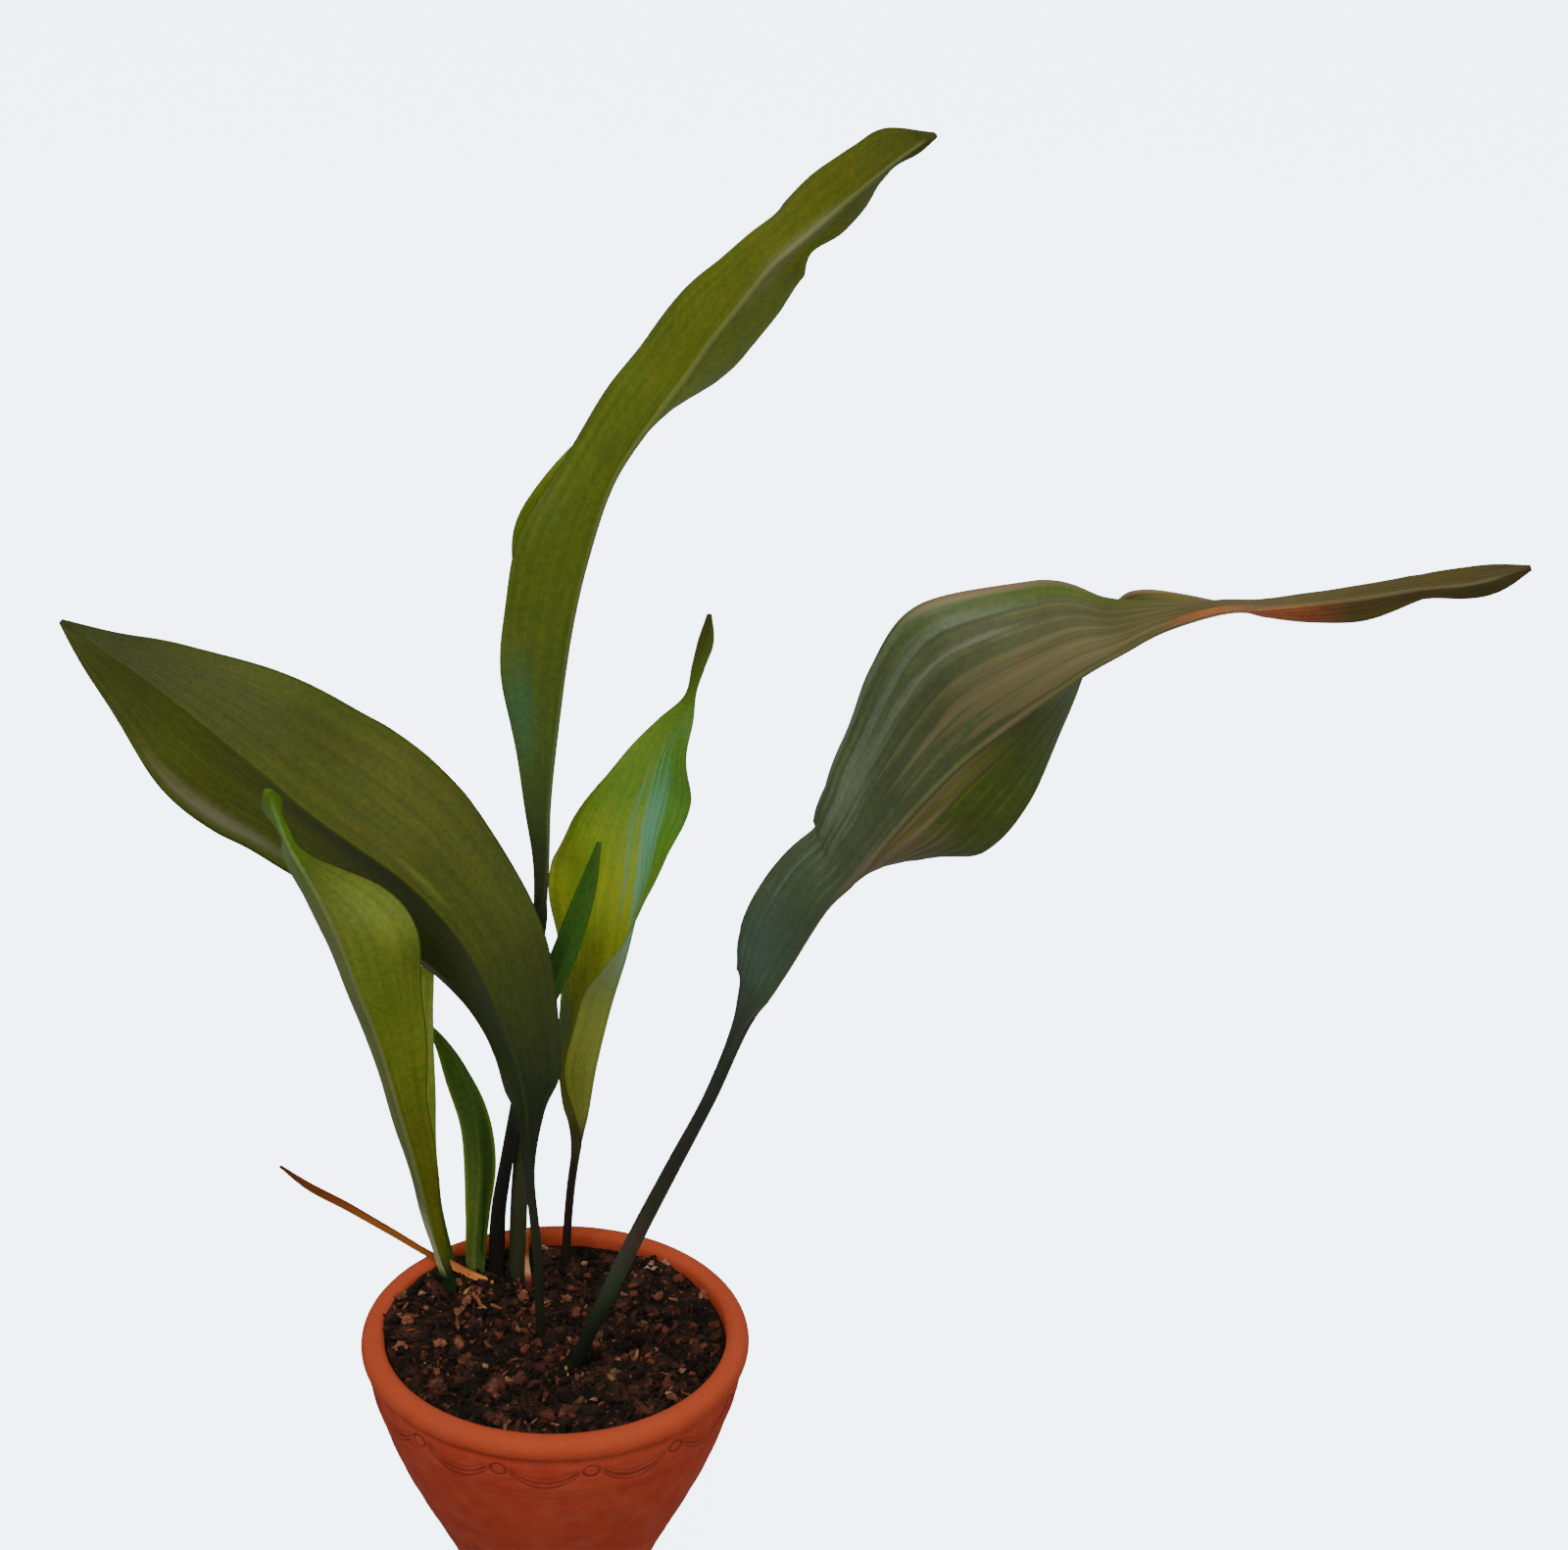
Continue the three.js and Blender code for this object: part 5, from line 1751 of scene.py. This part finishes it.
    yield Leaf(
        "slim_leaf",
        "deep_green_leaf",
        LeafSkin(
            "aspidistra_leaf_deep_green",
            stalk=((0.0, "1F1C15"), (0.4, "241F1A"), (0.52, "2C421C")),
            left=((0.65, "3C6A1E"), (1.0, "3E6618")),
            right=((0.65, "427220"), (1.0, "466E1C")),
            rib="3A6428",
            margin="2A4616",
        ),
        ripple=Ripple(height=0.3, length=45, width=0.02),
        stations=(
            stalk(-23.4, 41, foot, 2.7),
            stalk(-23, 43, 118.5, 3.1),
            stalk(-22, 41.5, 141, 2.9),
            stalk(-18.5, 39, 166, 2.5),
            stalk(-15, 37, 190, 2.2),
            blade(-11.5, 36, 207, (3.4, -10, -10), (2.6, -10, -10)),
            blade(-6.5, 35, 228, (5, -10, -20), (3.6, -10, -20)),
            blade(0, 35, 244.5, (6, -10, -20), (4.2, -10, -20)),
            blade(6, 34, 262.5, (5.6, -10, -20), (4, -10, -20)),
            blade(11.5, 33, 282, (4, -10, -10), (3, -10, -10)),
            tip(15.5, 32, 302),
        ),
    )
    yield Leaf(
        "drooping_leaf",
        "grey_green_leaf",
        LeafSkin(
            "aspidistra_leaf_grey_green",
            stalk=(
                (0.04, "171F16"), (0.08, "1B2517"), (0.113, "26341C"), (0.14, "2F3C26"),
                (0.173, "42362A"), (0.2, "32321E"), (0.24, "2D2A1A"), (0.3, "2D2921"),
                (0.34, "2D3722"),
            ),
            left=(
                (0.373, "31382C"), (0.41, "3D4F36"), (0.5, "444F33"), (0.65, "434B28"),
                (0.75, "55542A"), (0.82, "5A4C1A"), (0.9, "54480C"), (1.0, "463C08"),
            ),
            right=(
                (0.4, "363E28"), (0.52, "565629"), (0.6, "46520F"), (0.72, "46500F"),
                (0.765, "54501E"), (0.805, "6A5E2A"), (0.825, "AC5C2C"), (0.85, "BC6430"),
                (0.875, "9A5222"), (0.895, "5A4A18"), (1.0, "3D3408"),
            ),
            rib="7E7050",
            margin="4A4424",
            rib_share=0.35,
            veins=7,
            vein_share=-0.5,
            streak_lanes=12.0,
            streak_share=0.17,
            patches_with_painted_light=(
                # Painted sheen: bluish and pale grey-green gloss on the left half
                Patch(-0.5, 0.43, 0.6, 0.05, "465C52", 0.4),
                Patch(-0.75, 0.58, 0.34, 0.12, "828E74", 0.36, 5.0),
                Patch(-0.92, 0.72, 0.2, 0.12, "4E640E", 0.8),
                Patch(-1.04, 0.705, 0.14, 0.075, "B08A6E", 1.0),
                Patch(0.25, 0.53, 0.4, 0.06, "8E765A", 0.6, 3.0),
                Patch(-0.25, 0.69, 0.3, 0.12, "8A7450", 0.42, 6.0),
                Patch(0.1, 0.6, 0.14, 0.12, "80684A", 0.42, 4.0),
                Patch(-0.12, 0.815, 0.25, 0.035, "B4622E", 0.85),
                Patch(1.0, 0.775, 0.1, 0.05, "B08A62", 0.85),
            ),
        ),
        ripple=Ripple(height=1.2, length=54, width=0.02),
        stations=(
            stalk(0.6, -18.4, foot + 0.6, 2.4),
            stalk(8.7, -22.5, 118.5, 2.5),
            stalk(18.2, -26.5, 145.5, 3),
            stalk(28.5, -31, 174.5, 3),
            stalk(41, -36.5, 207, 2.7),
            stalk(53.5, -42, 239, 2.4),
            blade(65, -47, 271, (5, -10, 0), (2.6, -60, 0)),
            blade(71.5, -49.5, 282.5, (15.6, -10, -20), (9, -115, -15)),
            blade(77.5, -52, 294.5, (21, -10, -25), (16, -130, -20)),
            blade(89, -57, 319.5, (25.4, -15, -25), (22, -118, -20)),
            blade(97.5, -62, 332.5, (27, -20, -25), (22, -80, -15)),
            blade(105.5, -65.5, 346, (28, -15, -22), (24.6, -32, -30)),
            blade(114, -69, 359.5, (35, -12, -18), (32.6, -10, -35)),
            blade(128.5, -75, 380.5, (43, -2, -14), (31, -15, -40)),
            blade(144, -81, 398, (48, 0, -18), (34, -45, -40)),
            blade(164.5, -89, 418.5, (36, -12, -25), (34, -100, -18)),
            blade(176, -93, 428, (20.5, -20, -25), (28, -116, -16)),
            blade(187.5, -97, 437, (13, -30, -25), (20, -123, -15)),
            blade(203.5, -101, 444.5, (10, -60, -10), (13, -110, -10)),
            blade(216.5, -105, 447.5, (6.5, -70, 0), (11.8, -84, 0)),
            blade(229.5, -108, 450, (7.2, -62, 0), (11.5, -62, 0)),
            blade(243.5, -111, 453, (7.8, -50, 0), (10.2, -55, 0)),
            blade(259, -114, 457, (7.3, -50, 0), (4.8, -55, 0)),
            blade(264.5, -115, 458, (7, -48, 0), (3.5, -50, 0)),
            blade(279, -117, 461, (6.4, -40, 0), (6, -40, 0)),
            tip(293, -120, 467),
        ),
        pleats=5.0,
        pleat_height=0.2,
    )
    yield Leaf(
        "dry_leaf",
        "withered_leaf",
        WitheredSkin(
            "aspidistra_leaf_withered",
            stops=(
                (0.0, "FF9C50"), (0.22, "FFA054"), (0.27, "8A4A1A"), (0.35, "A8621E"),
                (0.6, "A05A22"), (0.8, "7A3A14"), (1.0, "5A2A12"),
            ),
            fibre="7A3A14",
        ),
        ripple=Ripple(height=0.2, length=40, width=0.1),
        stations=(
            blade(-24.2, 34.6, 111.8, (1, 0, 0)),
            blade(-33, 37.6, 114, (1.5, 20, 10)),
            blade(-41.5, 42.6, 115.8, (1.8, 30, 20)),
            blade(-51, 50.4, 116.1, (1.7, 40, 20)),
            blade(-64.5, 58.5, 120.5, (1.8, 40, 20)),
            blade(-79.5, 63.5, 127.5, (2, 30, 20)),
            blade(-95, 67, 135, (1.6, 20, 10)),
            blade(-107.5, 70, 143.4, (0.6, 0, 0)),
        ),
    )
    yield Leaf(
        "dry_scale",
        "withered_scale",
        WitheredSkin(
            "aspidistra_scale_withered",
            stops=(
                (0.3, "4A2216"), (0.37, "9A5634"), (0.45, "F0B480"), (0.6, "E8A468"),
                (0.68, "8A4A28"), (1.0, "B06838"),
            ),
            fibre="6A3A1A",
        ),
        ripple=Ripple(height=0.1, length=24, width=0.05),
        stations=(
            blade(-10.2, 28.4, 105, (1, 0, 20)),
            blade(-10.4, 29.6, 111.5, (1.3, 10, 30)),
            blade(-10.8, 31, 117.5, (1.3, 10, 30)),
            blade(-11.2, 32, 123, (0.8, 0, 10)),
            blade(-11, 33, 130, (0.6, 0, 0)),
            blade(-11, 33, 137, (0.6, 0, 0)),
        ),
    )


@dataclass
class Rhizome:
    """The creeping rootstock under the soil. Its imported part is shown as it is."""

    # Rootstock with old scales, grown: matt, fibrous, from brown to straw
    finish: Crumbly = Crumbly(
        "rootstock_fibrous", ((0.1, "5E4228"), (0.5, "94744E"), (0.9, "BCA27C")), 3.0, roughness=0.8
    )

    def dress(self, frame: dict) -> None:
        """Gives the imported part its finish.

        Args:
            frame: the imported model.
        """
        rootstock = frame["nodes"]["rhizome"]
        rootstock.data.materials.clear()
        rootstock.data.materials.append(self.finish.material())
        LOG.info("rhizome: dressed")


def main() -> None:
    """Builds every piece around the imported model."""
    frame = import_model()
    Studio(StudioPaper()).build()
    Pot(Terracotta(), Garland()).build()
    Soil().build()
    for leaf in leaves():
        leaf.build()
    Rhizome().dress(frame)


if __name__ == "__main__":
    logging.basicConfig(level=logging.INFO, format="%(message)s", stream=sys.stdout)
    main()
